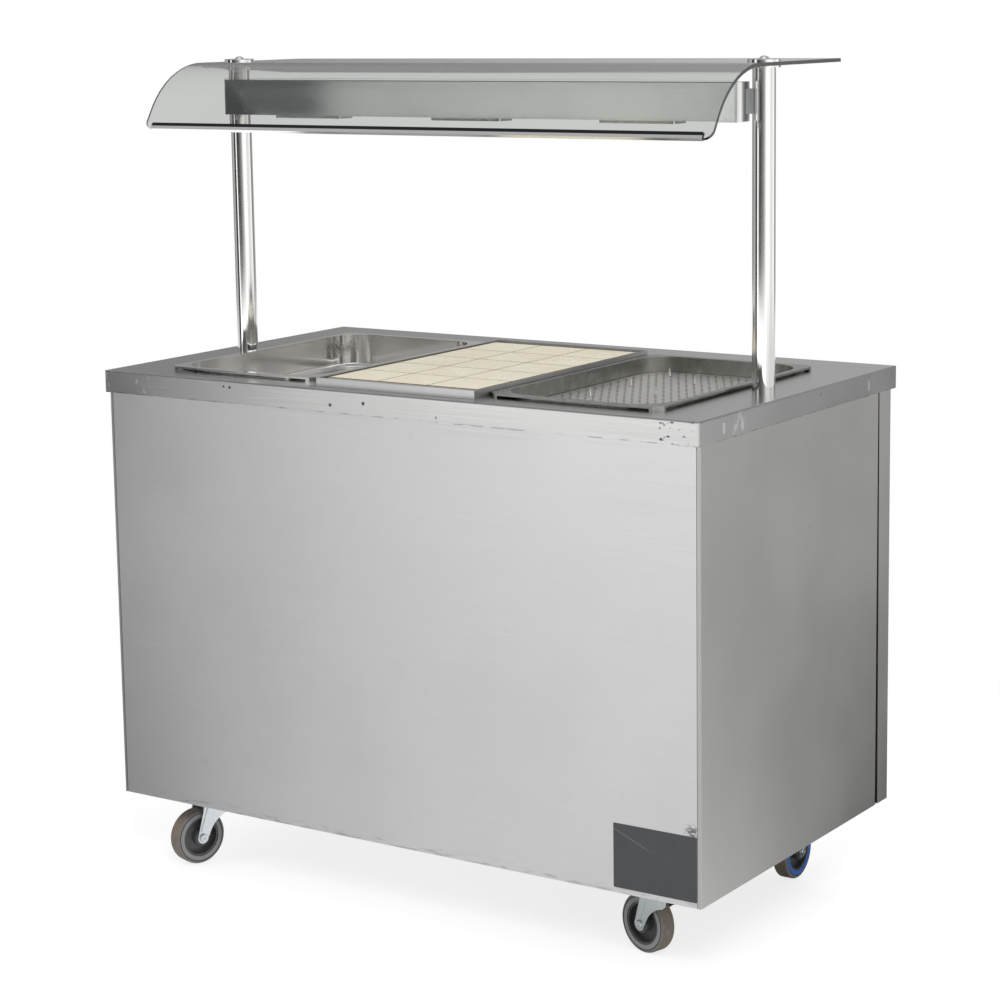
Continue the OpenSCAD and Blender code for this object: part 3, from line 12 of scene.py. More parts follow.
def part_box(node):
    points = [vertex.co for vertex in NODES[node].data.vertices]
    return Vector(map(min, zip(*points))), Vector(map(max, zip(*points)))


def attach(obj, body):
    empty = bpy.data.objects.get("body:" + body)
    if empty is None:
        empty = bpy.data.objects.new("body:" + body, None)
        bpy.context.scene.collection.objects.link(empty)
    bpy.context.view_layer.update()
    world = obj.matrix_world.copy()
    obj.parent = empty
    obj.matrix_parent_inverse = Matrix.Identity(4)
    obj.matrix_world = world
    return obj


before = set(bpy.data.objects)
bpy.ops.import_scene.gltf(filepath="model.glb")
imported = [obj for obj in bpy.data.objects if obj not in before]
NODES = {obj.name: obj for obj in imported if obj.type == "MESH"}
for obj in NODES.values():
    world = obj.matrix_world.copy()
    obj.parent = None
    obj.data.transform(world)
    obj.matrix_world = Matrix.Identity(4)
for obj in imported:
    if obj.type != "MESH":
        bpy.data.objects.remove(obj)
scene = bpy.context.scene
scene.view_settings.view_transform = "Standard"
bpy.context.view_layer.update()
MM = 0.001


# ---------------------------------------------------------------- camera

# Found by fitting the counter's corners, posts, glass and castors to the photograph. Focal length and
# shift are shares of the picture's width.
CAMERA_PLACE = Vector((2.4956, -3.7140, 1.5372))
YAW, PITCH, ROLL = (math.radians(a) for a in (33.84, -9.17, -0.85))
FOCAL, SHIFT_UP = 2572.4 / 1000, -80 / 1000
SENSOR = 36


def make_camera():
    """Places the camera, aimed by yaw, pitch and roll."""
    data = bpy.data.cameras.new("camera")
    data.sensor_width = SENSOR
    data.lens = SENSOR * FOCAL
    data.shift_y = SHIFT_UP
    data.clip_end = 200
    camera = bpy.data.objects.new("camera", data)
    scene.collection.objects.link(camera)
    forward = Vector((-math.sin(YAW) * math.cos(PITCH), math.cos(YAW) * math.cos(PITCH), math.sin(PITCH)))
    level = Vector((math.cos(YAW), math.sin(YAW), 0))
    upright = level.cross(forward)
    right = level * math.cos(ROLL) + upright * math.sin(ROLL)
    up = right.cross(forward)
    turn = Matrix((right, up, -forward)).transposed()
    camera.matrix_world = Matrix.Translation(CAMERA_PLACE) @ turn.to_4x4()
    scene.camera = camera


# ---------------------------------------------------------------- node graphs

class Graph:
    """A small helper that writes a shader graph node by node."""

    def __init__(self, tree):
        self.tree = tree
        tree.nodes.clear()

    def add(self, kind, inputs=None, **settings):
        """Adds a node; inputs are values or other nodes' sockets, by name or number."""
        made = self.tree.nodes.new("ShaderNode" + kind)
        for key, value in settings.items():
            setattr(made, key, value)
        for key, value in (inputs or {}).items():
            if isinstance(value, bpy.types.NodeSocket):
                self.tree.links.new(value, made.inputs[key])
            else:
                made.inputs[key].default_value = value
        return made

    def math(self, operation, *values):
        return self.add("Math", dict(enumerate(values)), operation=operation).outputs[0]

    def product(self, *values):
        result = values[0]
        for value in values[1:]:
            result = self.math("MULTIPLY", result, value)
        return result

    def place(self):
        """Where the shaded point lies in the model's frame."""
        return self.add("TexCoord").outputs["Object"]

    def normal(self, axis):
        """One part of the surface's direction, before any bump."""
        return self.split(self.add("NewGeometry").outputs["True Normal"])[axis]

    def ramp(self, value, low, high, to_low=0.0, to_high=1.0):
        """Smoothly maps low..high to to_low..to_high and holds the ends."""
        made = self.add("MapRange", {"Value": value, "From Min": low, "From Max": high, "To Min": to_low,
                                     "To Max": to_high}, interpolation_type="SMOOTHSTEP")
        return made.outputs["Result"]

    def stops(self, value, *pairs):
        """Grey level along value, which runs from 0 to 1, through (value, level) pairs."""
        made = self.add("ValToRGB", {"Fac": value})
        points = made.color_ramp.elements
        while len(points) < len(pairs):
            points.new(0.5)
        for point, (place, level) in zip(points, pairs):
            point.position = place
            point.color = (level, level, level, 1)
        return made.outputs["Color"]

    def split(self, vector):
        return self.add("SeparateXYZ", {"Vector": vector}).outputs

    def within(self, value, low, high, edge):
        """1 from low to high and 0 outside, with soft edges."""
        return self.product(self.ramp(value, low - edge, low), self.ramp(value, high, high + edge, 1.0, 0.0))

    def near(self, at, centre, radius, edge):
        """1 within radius of a point and 0 outside it; edge is the soft share of the radius."""
        away = self.add("VectorMath", {0: at, 1: centre}, operation="DISTANCE").outputs["Value"]
        return self.ramp(away, radius * (1 - edge), radius * (1 + edge), 1.0, 0.0)

    def noise(self, at, stretch, detail=3.0, rough=0.55, turn=(0, 0, 0)):
        """Noise stretched by stretch, in cells per metre along each axis."""
        placed = self.add("Mapping", {"Vector": at, "Scale": stretch, "Rotation": turn})
        made = self.add("TexNoise", {"Vector": placed.outputs[0], "Scale": 1.0, "Detail": detail,
                                     "Roughness": rough})
        return made.outputs["Fac"]

    def bump(self, height, strength, distance):
        return self.add("Bump", {"Height": height, "Strength": strength, "Distance": distance}).outputs[0]

    def mix(self, share, first, second):
        """Blends two colours, sockets or triples: all first at 0, all second at 1."""
        made = self.add("Mix", {"Factor": share}, data_type="RGBA")
        for socket, value in ((6, first), (7, second)):
            if isinstance(value, bpy.types.NodeSocket):
                self.tree.links.new(value, made.inputs[socket])
            else:
                made.inputs[socket].default_value = (*value[:3], 1)
        return made.outputs[2]

    def blend(self, share, first, second):
        """Blends two shader nodes: all first at 0, all second at 1."""
        return self.add("MixShader", {0: share, 1: first.outputs[0], 2: second.outputs[0]})

    def glow(self, strength):
        return self.add("Emission", {"Strength": strength})

    def link(self, source, shader, socket):
        self.tree.links.new(source, shader.inputs[socket])


def shade(colour, factor):
    return tuple(min(1.0, part * factor) for part in colour)


def grey(level):
    return (level, level, level)


MATERIALS = {}


def new_material(name):
    material = bpy.data.materials.new(name)
    material.use_nodes = True
    graph = Graph(material.node_tree)
    shader = graph.add("BsdfPrincipled")
    out = graph.add("OutputMaterial", {"Surface": shader.outputs[0]})
    MATERIALS[name] = material
    return graph, shader, out


# ---------------------------------------------------------------- studio

# Level of the walls that metal sees, by the turn about the object: 0.5 is in front, more is to the
# left, 0 and 1 are behind. The narrow bands shape the posts and the lamp housing.
WALLS = ((0.0, 0.45), (0.05, 0.28), (0.10, 0.34), (0.125, 1.35), (0.15, 1.20), (0.21, 0.90), (0.29, 1.40),
         (0.36, 1.30), (0.39, 0.80), (0.42, 0.35), (0.46, 0.20), (0.50, 0.05), (0.56, 0.05), (0.572, 0.80),
         (0.583, 1.70), (0.594, 1.60), (0.602, 1.30), (0.608, 0.60), (0.613, 0.30), (0.622, 0.95),
         (0.635, 0.95), (0.66, 0.60), (0.745, 0.45), (0.80, 0.30), (0.85, 0.22), (0.89, 0.27),
         (0.923, 0.50), (1.0, 0.50))
# Levels above the walls, and the upward parts of a direction between which each one takes over
SKY, MIRRORED_SKY, SKY_RISE = 0.62, 0.38, (0.20, 0.50)
ZENITH, ZENITH_RISE = 0.95, (0.85, 0.98)
BACKDROP_IN_METAL = 0.05

# The camera's place as the front panel and the right side panel mirror it, seen from above
BEHIND_FRONT, BEHIND_SIDE = (2.5, 3.03), (-1.3, -3.7)
# Level of the floor that the front panel mirrors, by slope from its right end to its left one
FLOOR_IN_FRONT = ((0.50, 1.0), (0.60, 1.0), (0.72, 0.92), (0.80, 0.80), (0.87, 0.56), (0.92, 0.36),
                  (1.0, 0.26))
# The same for the side panel, by slope above SIDE_SLOPE from its front edge to its rear one and beyond
FLOOR_AT_SIDE = ((0.0, 0.85), (0.168, 0.68), (0.35, 0.28), (0.53, 0.10), (0.75, 0.20), (1.0, 0.88))
SIDE_SLOPE = 1.6
# Level farther to the left, where only views from the left and from behind mirror it
FLOOR_FAR_LEFT = 0.85
# Where the mirrored floor gives way to the walls, and the shaded paper to white: radius and soft share
FLOOR_END, PAPER_EDGE = (8.8, 0.15), (1.25, 0.35)
# The paper glows by two parts and takes this share from the light that falls on it
PAPER_GLOW, PAPER_UNLIT, PAPER_SHARE = 0.34, 0.66, 0.36
ORIGIN = (0.0, 0.0, 0.0)


def wall_level(g, place):
    """Grey level that metal sees at the horizon, by the direction from the object."""
    turn = g.math("ARCTAN2", g.product(place["X"], -1.0), g.product(place["Y"], -1.0))
    return g.stops(g.math("MULTIPLY_ADD", turn, 0.5 / math.pi, 0.5), *WALLS)


def ray_kinds(g):
    """1 for rays that come to the camera straight or through glass alone, and 1 for those off metal."""
    paths = g.add("LightPath").outputs
    mirrored = g.math("MINIMUM", paths["Glossy Depth"], 1.0)
    through = g.product(paths["Is Transmission Ray"], g.math("SUBTRACT", 1.0, mirrored))
    return g.math("MAXIMUM", paths["Is Camera Ray"], through), mirrored


def make_world():
    """White surround for camera and glass; metal sees softer walls with darker gaps between them."""
    world = bpy.data.worlds.new("studio")
    scene.world = world
    world.use_nodes = True
    g = Graph(world.node_tree)
    way = g.split(g.add("TexCoord").outputs["Generated"])
    direct, mirrored = ray_kinds(g)
    sky = g.mix(mirrored, grey(SKY), grey(MIRRORED_SKY))
    level = g.mix(g.ramp(way["Z"], *SKY_RISE), wall_level(g, way), sky)
    level = g.mix(g.ramp(way["Z"], *ZENITH_RISE), level, grey(ZENITH))
    soft = g.add("Background", {"Color": level, "Strength": 1.0})
    white = g.add("Background", {"Color": (1, 1, 1, 1), "Strength": 1.0})
    backdrop = g.math("MAXIMUM", direct, g.product(mirrored, BACKDROP_IN_METAL))
    g.add("OutputWorld", {"Surface": g.blend(backdrop, soft, white).outputs[0]})


def mirrored_floor_level(g, at):
    """Grey level of the floor in metal: one run before the front panel, one beside the right side."""
    place = g.split(at)
    x, y = BEHIND_FRONT
    ahead = g.math("MAXIMUM", g.math("SUBTRACT", y, place["Y"]), 0.5)
    across = g.math("DIVIDE", g.math("SUBTRACT", x, place["X"]), ahead)
    # the apron mirrors the farthest part, the foot of the panel the nearest one
    gain = g.product(g.ramp(place["Y"], -5.3, -3.6, 2.0, 0.98), g.ramp(place["Y"], -3.0, -0.5, 1.0, 0.86))
    upper_left = g.product(g.ramp(across, 0.84, 0.915), g.ramp(place["Y"], -4.4, -2.4, 1.0, 0.0))
    gain = g.product(gain, g.ramp(upper_left, 0.0, 1.0, 1.0, 0.08))
    in_front = g.product(g.stops(across, *FLOOR_IN_FRONT), gain)
    in_front = g.mix(g.ramp(across, 1.15, 1.8), in_front, grey(FLOOR_FAR_LEFT))
    x, y = BEHIND_SIDE
    beside = g.math("MAXIMUM", g.math("SUBTRACT", place["X"], x), 0.5)
    along = g.math("SUBTRACT", g.math("DIVIDE", g.math("SUBTRACT", place["Y"], y), beside), SIDE_SLOPE)
    at_side = g.product(g.stops(along, *FLOOR_AT_SIDE), g.ramp(place["X"], 0.65, 1.5, 1.25, 1.0))
    near = g.mix(g.ramp(place["Y"], -0.6, -0.1), in_front, at_side)
    return g.mix(g.near(at, ORIGIN, *FLOOR_END), wall_level(g, place), near)


def make_floor():
    """White paper, a little below the wheels, that keeps the counter's soft shadow."""
    half, z = 40.0, -0.0005
    floor = sheet_piece("floor", (-half, -half, z), (half, -half, z), (half, half, z), (-half, half, z))
    g, shader, out = new_material("floor_paper")
    shader.inputs["Base Color"].default_value = (0.92, 0.92, 0.92, 1)
    shader.inputs["Roughness"].default_value = 0.9
    at = g.place()
    lit = g.blend(PAPER_SHARE, g.glow(PAPER_UNLIT), shader)
    shaded = g.add("AddShader", {0: g.glow(PAPER_GLOW).outputs[0], 1: lit.outputs[0]})
    seen_paper = g.blend(g.near(at, ORIGIN, *PAPER_EDGE), g.glow(1.0), shaded)
    direct, mirrored = ray_kinds(g)
    others = g.blend(mirrored, shader, g.glow(mirrored_floor_level(g, at)))
    g.link(g.blend(direct, others, seen_paper).outputs[0], out, "Surface")
    floor.data.materials.append(MATERIALS["floor_paper"])


def make_flag():
    """A dark flag at the front left, seen only in metal.

    It darkens the left ends of the housing and the apron, and through its blur the panel's upper left.
    """
    left, right, y, height = -9.0, -3.78, -4.6, 6.0
    flag = sheet_piece("flag", (left, y, 0), (right, y, 0), (right, y, height), (left, y, height))
    g, _, out = new_material("flag_cloth")
    cloth = g.add("Emission", {"Color": (0.045, 0.05, 0.055, 1), "Strength": 1.0})
    _, mirrored = ray_kinds(g)
    g.link(g.blend(mirrored, g.add("BsdfTransparent"), cloth).outputs[0], out, "Surface")
    flag.data.materials.append(MATERIALS["flag_cloth"])
    flag.visible_camera = flag.visible_diffuse = flag.visible_shadow = False


# Name, place, size and power of each lamp; all face LAMPS_FACE
LAMPS = (("key", (2.6, -3.2, 3.4), (1.6, 1.6), 95), ("fill", (-2.6, -2.8, 2.4), (1.4, 1.8), 30),
         ("back", (0.6, 3.4, 2.8), (2.2, 1.0), 45))
LAMPS_FACE = (0, 0, 0.75)


def soft_box(name, place, size, power):
    """A rectangular lamp that faces the counter; metal and glass do not mirror it."""
    data = bpy.data.lights.new(name, "AREA")
    data.shape = "RECTANGLE"
    data.size, data.size_y = size
    data.energy = power
    lamp = bpy.data.objects.new(name, data)
    lamp.location = place
    lamp.rotation_mode = "QUATERNION"
    lamp.rotation_quaternion = (Vector(LAMPS_FACE) - Vector(place)).to_track_quat("-Z", "Y")
    lamp.visible_glossy = lamp.visible_transmission = False
    scene.collection.objects.link(lamp)


def make_studio():
    make_world()
    make_floor()
    make_flag()
    for lamp in LAMPS:
        soft_box(*lamp)


# ---------------------------------------------------------------- meshes

def new_piece(name, mesh, material=None, body=None):
    piece = bpy.data.objects.new(name, mesh)
    scene.collection.objects.link(piece)
    if material:
        mesh.materials.append(MATERIALS[material])
    if body:
        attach(piece, body)
    return piece


def sheet_piece(name, *corners):
    """A flat piece between four corners."""
    mesh = bpy.data.meshes.new(name)
    mesh.from_pydata(corners, [], [(0, 1, 2, 3)])
    return new_piece(name, mesh)


class Stack:
    """Collects many small shapes, in millimetres, into one mesh in metres."""

    def __init__(self):
        self.points, self.faces = [], []

    def loops(self, loops, place=Matrix()):
        """Skins closed loops of equal length and caps both ends."""
        first, count = len(self.points), len(loops[0])
        for loop in loops:
            self.points += [MM * (place @ Vector(point)) for point in loop]
        for ring in range(len(loops) - 1):
            for i in range(count):
                a, b = first + ring * count + i, first + ring * count + (i + 1) % count
                self.faces.append((a, b, b + count, a + count))
        self.faces.append(tuple(reversed(range(first, first + count))))
        last = first + (len(loops) - 1) * count
        self.faces.append(tuple(range(last, last + count)))

    def piece(self, name, material, body, slot, smooth=False):
        mesh = bpy.data.meshes.new(name)
        mesh.from_pydata(self.points, [], self.faces)
        mesh.polygons.foreach_set("use_smooth", [smooth] * len(mesh.polygons))
        mesh.update()
        return new_piece(name, mesh, material, body)


CORNER_STEPS = 6


def rounded(width, height, radius):
    """Corner points of a rounded rectangle about the origin, anticlockwise."""
    points = []
    for quarter, (sx, sy) in enumerate(((1, 1), (-1, 1), (-1, -1), (1, -1))):
        for step in range(CORNER_STEPS + 1):
            turn = math.radians(90 * quarter + 90 * step / CORNER_STEPS)
            points.append((sx * (width / 2 - radius) + radius * math.cos(turn),
                           sy * (height / 2 - radius) + radius * math.sin(turn)))
    return points


def slab(stack, width, height, radius, thickness, chamfer, place):
    """A thin plate with rounded corners and a chamfered upper edge."""
    outline = rounded(width, height, radius)
    inner = rounded(width - 2 * chamfer, height - 2 * chamfer, radius - chamfer)
    stack.loops([[(x, y, 0) for x, y in outline], [(x, y, thickness - chamfer) for x, y in outline],
                 [(x, y, thickness) for x, y in inner]], place)


SCREW_PROFILE = ((3.3, 0.0), (3.3, 0.5), (3.0, 1.1), (2.4, 1.6), (1.7, 1.85))
SOCKET_R, SOCKET_FLOOR = 1.3, 0.8
SCREW_SEGMENTS = 24


def screw_head(stack, place):
    """A button head with a hexagon socket."""
    turns = [2 * math.pi * i / SCREW_SEGMENTS for i in range(SCREW_SEGMENTS)]
    loops = [[(r * math.cos(t), r * math.sin(t), z) for t in turns] for r, z in SCREW_PROFILE]
    sixth = math.pi / 3
    hexed = [SOCKET_R * math.cos(sixth / 2) / math.cos(t % sixth - sixth / 2) for t in turns]
    for z in (SCREW_PROFILE[-1][1], SOCKET_FLOOR):
        loops.append([(r * math.cos(t), r * math.sin(t), z) for r, t in zip(hexed, turns)])
    stack.loops(loops, place)


def facing(x, y, z, towards):
    """Place at a point in millimetres with +Z turned to the 'front' or the 'rear'."""
    quarter = {"front": math.pi / 2, "rear": -math.pi / 2}[towards]
    return Matrix.Translation((x, y, z)) @ Matrix.Rotation(quarter, 4, "X")


# ---------------------------------------------------------------- materials

def mottled(g, cloud, colour, amount):
    """The colour, a little darker and lighter by turns of a cloudy noise."""
    return g.mix(g.ramp(cloud, 0.3, 0.7), shade(colour, 1 - amount), shade(colour, 1 + amount))


def steel(name, colour, rough, grain, depth=0.05, mottle=0.04, scratch=0.25, soil=0.15):
    """Stainless sheet: brushed grain, cloudy wear, fine scratches and some dirt.

    grain is the noise frequency along x, y and z; the grain runs along the lowest one.
    Returns what is needed to paint further marks on it.
    """
    g, shader, _ = new_material(name)
    at = g.place()
    lines = g.noise(at, grain, detail=2.0)
    cloud = g.noise(at, (4, 4, 4), detail=4.0, rough=0.5)
    patch = g.noise(at, (23, 23, 23), detail=3.0, rough=0.65)
    hair = g.noise(at, (7, 7, 260), detail=1.0, turn=(0.5, 0.35, 0.2))
    dash = g.noise(at, (26, 26, 420), detail=1.0)
    base = mottled(g, cloud, colour, mottle)
    base = g.mix(g.ramp(lines, 0.25, 0.75, 0.0, 0.12), base, shade(colour, 0.75))
    base = g.mix(g.ramp(hair, 0.72, 0.80, 0.0, scratch), base, shade(colour, 1.3))
    base = g.mix(g.ramp(dash, 0.74, 0.80, 0.0, scratch), base, shade(colour, 1.3))
    dirt = g.product(g.ramp(patch, 0.62, 0.80, 0.0, soil), g.ramp(cloud, 0.5, 0.65))
    base = g.mix(dirt, base, shade(colour, 0.5))
    worn = g.math("ADD", g.ramp(lines, 0.2, 0.8, rough - 0.03, rough + 0.03),
                  g.ramp(cloud, 0.3, 0.7, -0.02, 0.03))
    g.link(worn, shader, "Roughness")
    g.link(g.bump(g.math("ADD", lines, g.product(patch, 0.4)), depth, 0.0003), shader, "Normal")
    g.link(base, shader, "Base Color")
    shader.inputs["Metallic"].default_value = 1.0
    return g, shader, at, base


def brushed_lengthways(g, shader, amount):
    """Stretches the gloss across the brushing of an upright face that is brushed lengthways."""
    shader.inputs["Anisotropic"].default_value = amount
    shader.inputs["Anisotropic Rotation"].default_value = 0.25
    g.link(g.add("Tangent", direction_type="RADIAL", axis="Z").outputs[0], shader, "Tangent")


def plain(name, colour, rough, bump=0.1, mottle=0.12, coat=0.0, dirt=None):
    """Plastic, rubber, vinyl or ink with a fine surface texture and uneven colour."""
    g, shader, _ = new_material(name)
    at = g.place()
    fine = g.noise(at, (400, 400, 400), detail=3.0)
    cloud = g.noise(at, (30, 30, 30), detail=4.0, rough=0.65)
    base = mottled(g, cloud, colour, mottle)
    if dirt:
        spots = g.noise(at, (60, 60, 60), detail=5.0, rough=0.7)
        base = g.mix(g.ramp(spots, 0.5, 0.72, 0.0, 0.8), base, dirt)
    g.link(base, shader, "Base Color")
    g.link(g.ramp(fine, 0.25, 0.75, rough - 0.05, rough + 0.07), shader, "Roughness")
    g.link(g.bump(fine, bump, 0.0005), shader, "Normal")
    shader.inputs["Coat Weight"].default_value = coat
    return g, shader, at, base


# Outer faces of the front and right aprons, and the marks on them: place, with the radius of each pit, where
# a near-black spot is painted as the shade in the pit; the spot-weld dimples, where a bright ring is painted
# as their highlight; and a scuff
APRON_Y, APRON_X = -0.350, 0.603
PIT_SHADE_SPOTS = ((-0.3166, APRON_Y, 0.8967, 0.0022), (-0.1007, APRON_Y, 0.8824, 0.0028),
        (-0.0319, APRON_Y, 0.8898, 0.0030), (-0.3300, APRON_Y, 0.8975, 0.0018),
        (0.1150, APRON_Y, 0.8772, 0.0016), (APRON_X, 0.060, 0.8960, 0.0016))
WELD_DIMPLE_HIGHLIGHTS = ((APRON_X, -0.271, 0.8915), (APRON_X, -0.271, 0.8835), (APRON_X, 0.240, 0.8910),
              (APRON_X, 0.240, 0.8830))
SCUFF = (APRON_X, -0.222, 0.885)


def make_worktop_steel():
    """Worktop sheet with marks on its aprons: chips and scratches of use, painted shade in the pits and
    painted highlight rings round the spot-weld dimples.
    """
    g, shader, at, base = steel("worktop_steel", (0.54, 0.54, 0.535), 0.23, (3, 900, 900), soil=0.3)
    place = g.split(at)
    front = g.ramp(place["Y"], APRON_Y + 0.002, APRON_Y + 0.001)
    left_end = g.product(front, g.ramp(place["X"], -0.46, -0.53))
    cuts = g.ramp(g.noise(at, (120, 5, 45), detail=3.0, rough=0.7, turn=(0.0, 0.6, 0.0)), 0.60, 0.66)
    base = g.mix(g.product(left_end, cuts), base, (0.95, 0.95, 0.95))
    # painted shade: a near-black spot in each pit
    for x, y, z, radius in PIT_SHADE_SPOTS:
        base = g.mix(g.near(at, (x, y, z), radius, 0.5), base, (0.06, 0.06, 0.06))
    chips = g.ramp(g.noise(at, (75, 10, 170), detail=2.0, rough=0.6), 0.62, 0.66)
    right_end = g.product(front, g.within(place["X"], 0.535, 0.597, 0.02))
    base = g.mix(g.product(chips, right_end), base, (0.07, 0.07, 0.075))
    # darker in patches along the lower edge of the aprons
    lower_edge_darkening = g.product(g.ramp(place["Z"], 0.8715, 0.8700), g.ramp(g.noise(at, (50, 50, 300)), 0.5, 0.6))
    base = g.mix(g.product(lower_edge_darkening, 0.5), base, (0.10, 0.10, 0.10))
    # painted highlight: a bright ring round each spot-weld dimple
    for centre in WELD_DIMPLE_HIGHLIGHTS:
        dimple_highlight_ring = g.math("SUBTRACT", g.near(at, centre, 0.0042, 0.25), g.near(at, centre, 0.0020, 0.4))
        base = g.mix(g.product(dimple_highlight_ring, 0.9), base, (0.97, 0.97, 0.97))
    scuff = g.product(g.near(at, SCUFF, 0.019, 0.5),
                      g.ramp(g.noise(at, (90, 90, 90), detail=4.0, rough=0.7), 0.45, 0.62))
    base = g.mix(g.product(scuff, 0.7), base, (0.95, 0.95, 0.95))
    g.link(base, shader, "Base Color")


SMUDGE = (0.585, -0.341, 0.253)


def make_front_steel():
    """Panel sheet brushed across, with a smudge above the bare plate and a soiled foot."""
    g, shader, at, base = steel("front_steel", (0.72, 0.72, 0.727), 0.34, (3, 3, 900), scratch=0.16,
                                soil=0.22)
    smudge = g.product(g.near(at, SMUDGE, 0.012, 0.6),
                       g.ramp(g.noise(at, (90, 90, 240), detail=3.0), 0.42, 0.55))
    base = g.mix(g.product(smudge, 0.8), base, (0.10, 0.09, 0.08))
    low = g.product(g.ramp(g.split(at)["Z"], 0.150, 0.136),
                    g.ramp(g.noise(at, (30, 30, 160), detail=4.0), 0.5, 0.7))
    base = g.mix(g.product(low, 0.35), base, (0.20, 0.17, 0.14))
    g.link(base, shader, "Base Color")


def make_housing_steel():
    """Bright sheet of the lamp housing, with a dark line along the upper edge of its front."""
    g, shader, at, base = steel("housing_steel", (0.82, 0.825, 0.82), 0.11, (3, 900, 900), depth=0.02,
                                scratch=0.08, soil=0.05)
    brushed_lengthways(g, shader, 0.92)
    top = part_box("lamp_housing")[1][2]
    ahead = g.ramp(g.normal("Y"), -0.7, -0.5, 1.0, 0.0)
    edge_line = g.product(ahead, g.ramp(g.split(at)["Z"], top - 1.6 * MM, top - 1.1 * MM))
    g.link(g.mix(edge_line, base, (0.12, 0.12, 0.12)), shader, "Base Color")


def make_materials():
    along_x = (3, 900, 900)
    make_worktop_steel()
    make_front_steel()
    steel("side_steel", (0.53, 0.525, 0.508), 0.36, (900, 900, 4), scratch=0.16, soil=0.22)
    make_housing_steel()
    steel("inner_steel", (0.62, 0.62, 0.61), 0.33, along_x, scratch=0.15)
    steel("galvanised", (0.42, 0.43, 0.44), 0.45, (40, 40, 40), mottle=0.14, scratch=0.05, soil=0.3)
    steel("polished", (0.78, 0.775, 0.76), 0.10, (700, 700, 6), depth=0.02, scratch=0.2, soil=0.08)
    steel("pan_polished", (0.86, 0.85, 0.83), 0.12, (200, 200, 200), depth=0.03, scratch=0.3, soil=0.2)
    make_carving_pan_steel()
    make_plate_steel()
    make_trim_steel()
    steel("tray_steel", (0.60, 0.60, 0.60), 0.30, along_x, scratch=0.2, soil=0.2)
    steel("zinc", (0.66, 0.70, 0.72), 0.26, (90, 90, 90), mottle=0.08, scratch=0.1, soil=0.4)
    steel("element", (0.22, 0.21, 0.20), 0.50, (50, 50, 50), mottle=0.2, scratch=0.05, soil=0.4)
    plain("black_plastic", (0.022, 0.022, 0.022), 0.42)
    plain("hub_plastic", (0.060, 0.062, 0.064), 0.38, dirt=(0.10, 0.085, 0.07))
    plain("red_plastic", (0.42, 0.02, 0.012), 0.25, coat=0.4)
    plain("seal_rubber", (0.025, 0.025, 0.027), 0.65)
    plain("print_ink", (0.05, 0.05, 0.055), 0.5, bump=0.03)
    plain("white_ink", (0.82, 0.82, 0.80), 0.45, bump=0.03, mottle=0.03)
    make_label_vinyl()
    for name in CASTORS:
        make_tyre_rubber(name)
    make_glass()
    make_tiles()
    make_grout()
    make_lamp_glass()


def make_carving_pan_steel():
    """Dull, mottled pan; its floor under the plate is painted dark brown: painted shade under the plate,
    with cooked residue.
    """
    g, shader, at, base = steel("pan_worn", (0.36, 0.36, 0.34), 0.30, (70, 70, 70), depth=0.08, mottle=0.16,
                                scratch=0.3, soil=0.5)
    blotch = g.ramp(g.noise(at, (45, 45, 45), detail=4.0, rough=0.7), 0.45, 0.65)
    base = g.mix(g.product(blotch, 0.30), base, (0.62, 0.62, 0.60))
    # painted shade: upward faces below the plate made dark brown, for the shade there and the cooked residue
    upward = g.ramp(g.split(g.add("NewGeometry").outputs["Normal"])["Z"], 0.5, 0.8)
    low = g.ramp(g.split(at)["Z"], 0.885, 0.875)
    base = g.mix(g.product(upward, low), base, (0.045, 0.032, 0.022))
    g.link(base, shader, "Base Color")


SPIKE_H = 15
PLATE_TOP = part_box("spike_plate")[1][2] - SPIKE_H * MM


def make_plate_steel():
    """Worn plate: the walls of its holes are painted near black, painted shade with some residue; the spikes
    are bright.
    """
    g, shader, at, base = steel("plate_steel", (0.90, 0.885, 0.845), 0.42, (3, 900, 900), mottle=0.06,
                                scratch=0.3, soil=0.4)
    height = g.split(at)["Z"]
    # painted shade: the upright walls of the holes, below the plate's top, made near black
    upright = g.ramp(g.normal("Z"), 0.6, 0.8, 1.0, 0.0)
    hole_wall_shade = g.product(upright, g.ramp(height, PLATE_TOP + 0.2 * MM, PLATE_TOP + 0.4 * MM, 1.0, 0.0))
    base = g.mix(hole_wall_shade, base, (0.030, 0.024, 0.018))
    base = g.mix(g.ramp(height, PLATE_TOP + 1 * MM, PLATE_TOP + 3 * MM), base, (0.95, 0.94, 0.92))
    g.link(base, shader, "Base Color")


def make_trim_steel():
    """Edge trim of the glass: a dark upper line and a bright lower one."""
    g, shader, at, base = steel("trim_steel", (0.97, 0.97, 0.97), 0.16, (3, 900, 900), soil=0.05)
    low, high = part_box("canopy_trim")
    split = low[2] + 0.64 * (high[2] - low[2])
    upper = g.ramp(g.split(at)["Z"], split - 0.4 * MM, split + 0.4 * MM)
    g.link(g.mix(upper, base, (0.045, 0.047, 0.05)), shader, "Base Color")


def make_label_vinyl():
    """Charcoal vinyl with one faint light scratch across its upper left."""
    g, shader, at, base = plain("label_vinyl", (0.048, 0.051, 0.056), 0.42, bump=0.04, mottle=0.05)
    place = g.split(at)
    line = g.math("ADD", g.product(place["X"], 0.42), place["Z"])
    scratch = g.product(g.within(line, 0.4237, 0.4240, 0.0004), g.ramp(place["X"], 0.515, 0.495))
    g.link(g.mix(g.product(scratch, 0.5), base, (0.35, 0.36, 0.38)), shader, "Base Color")


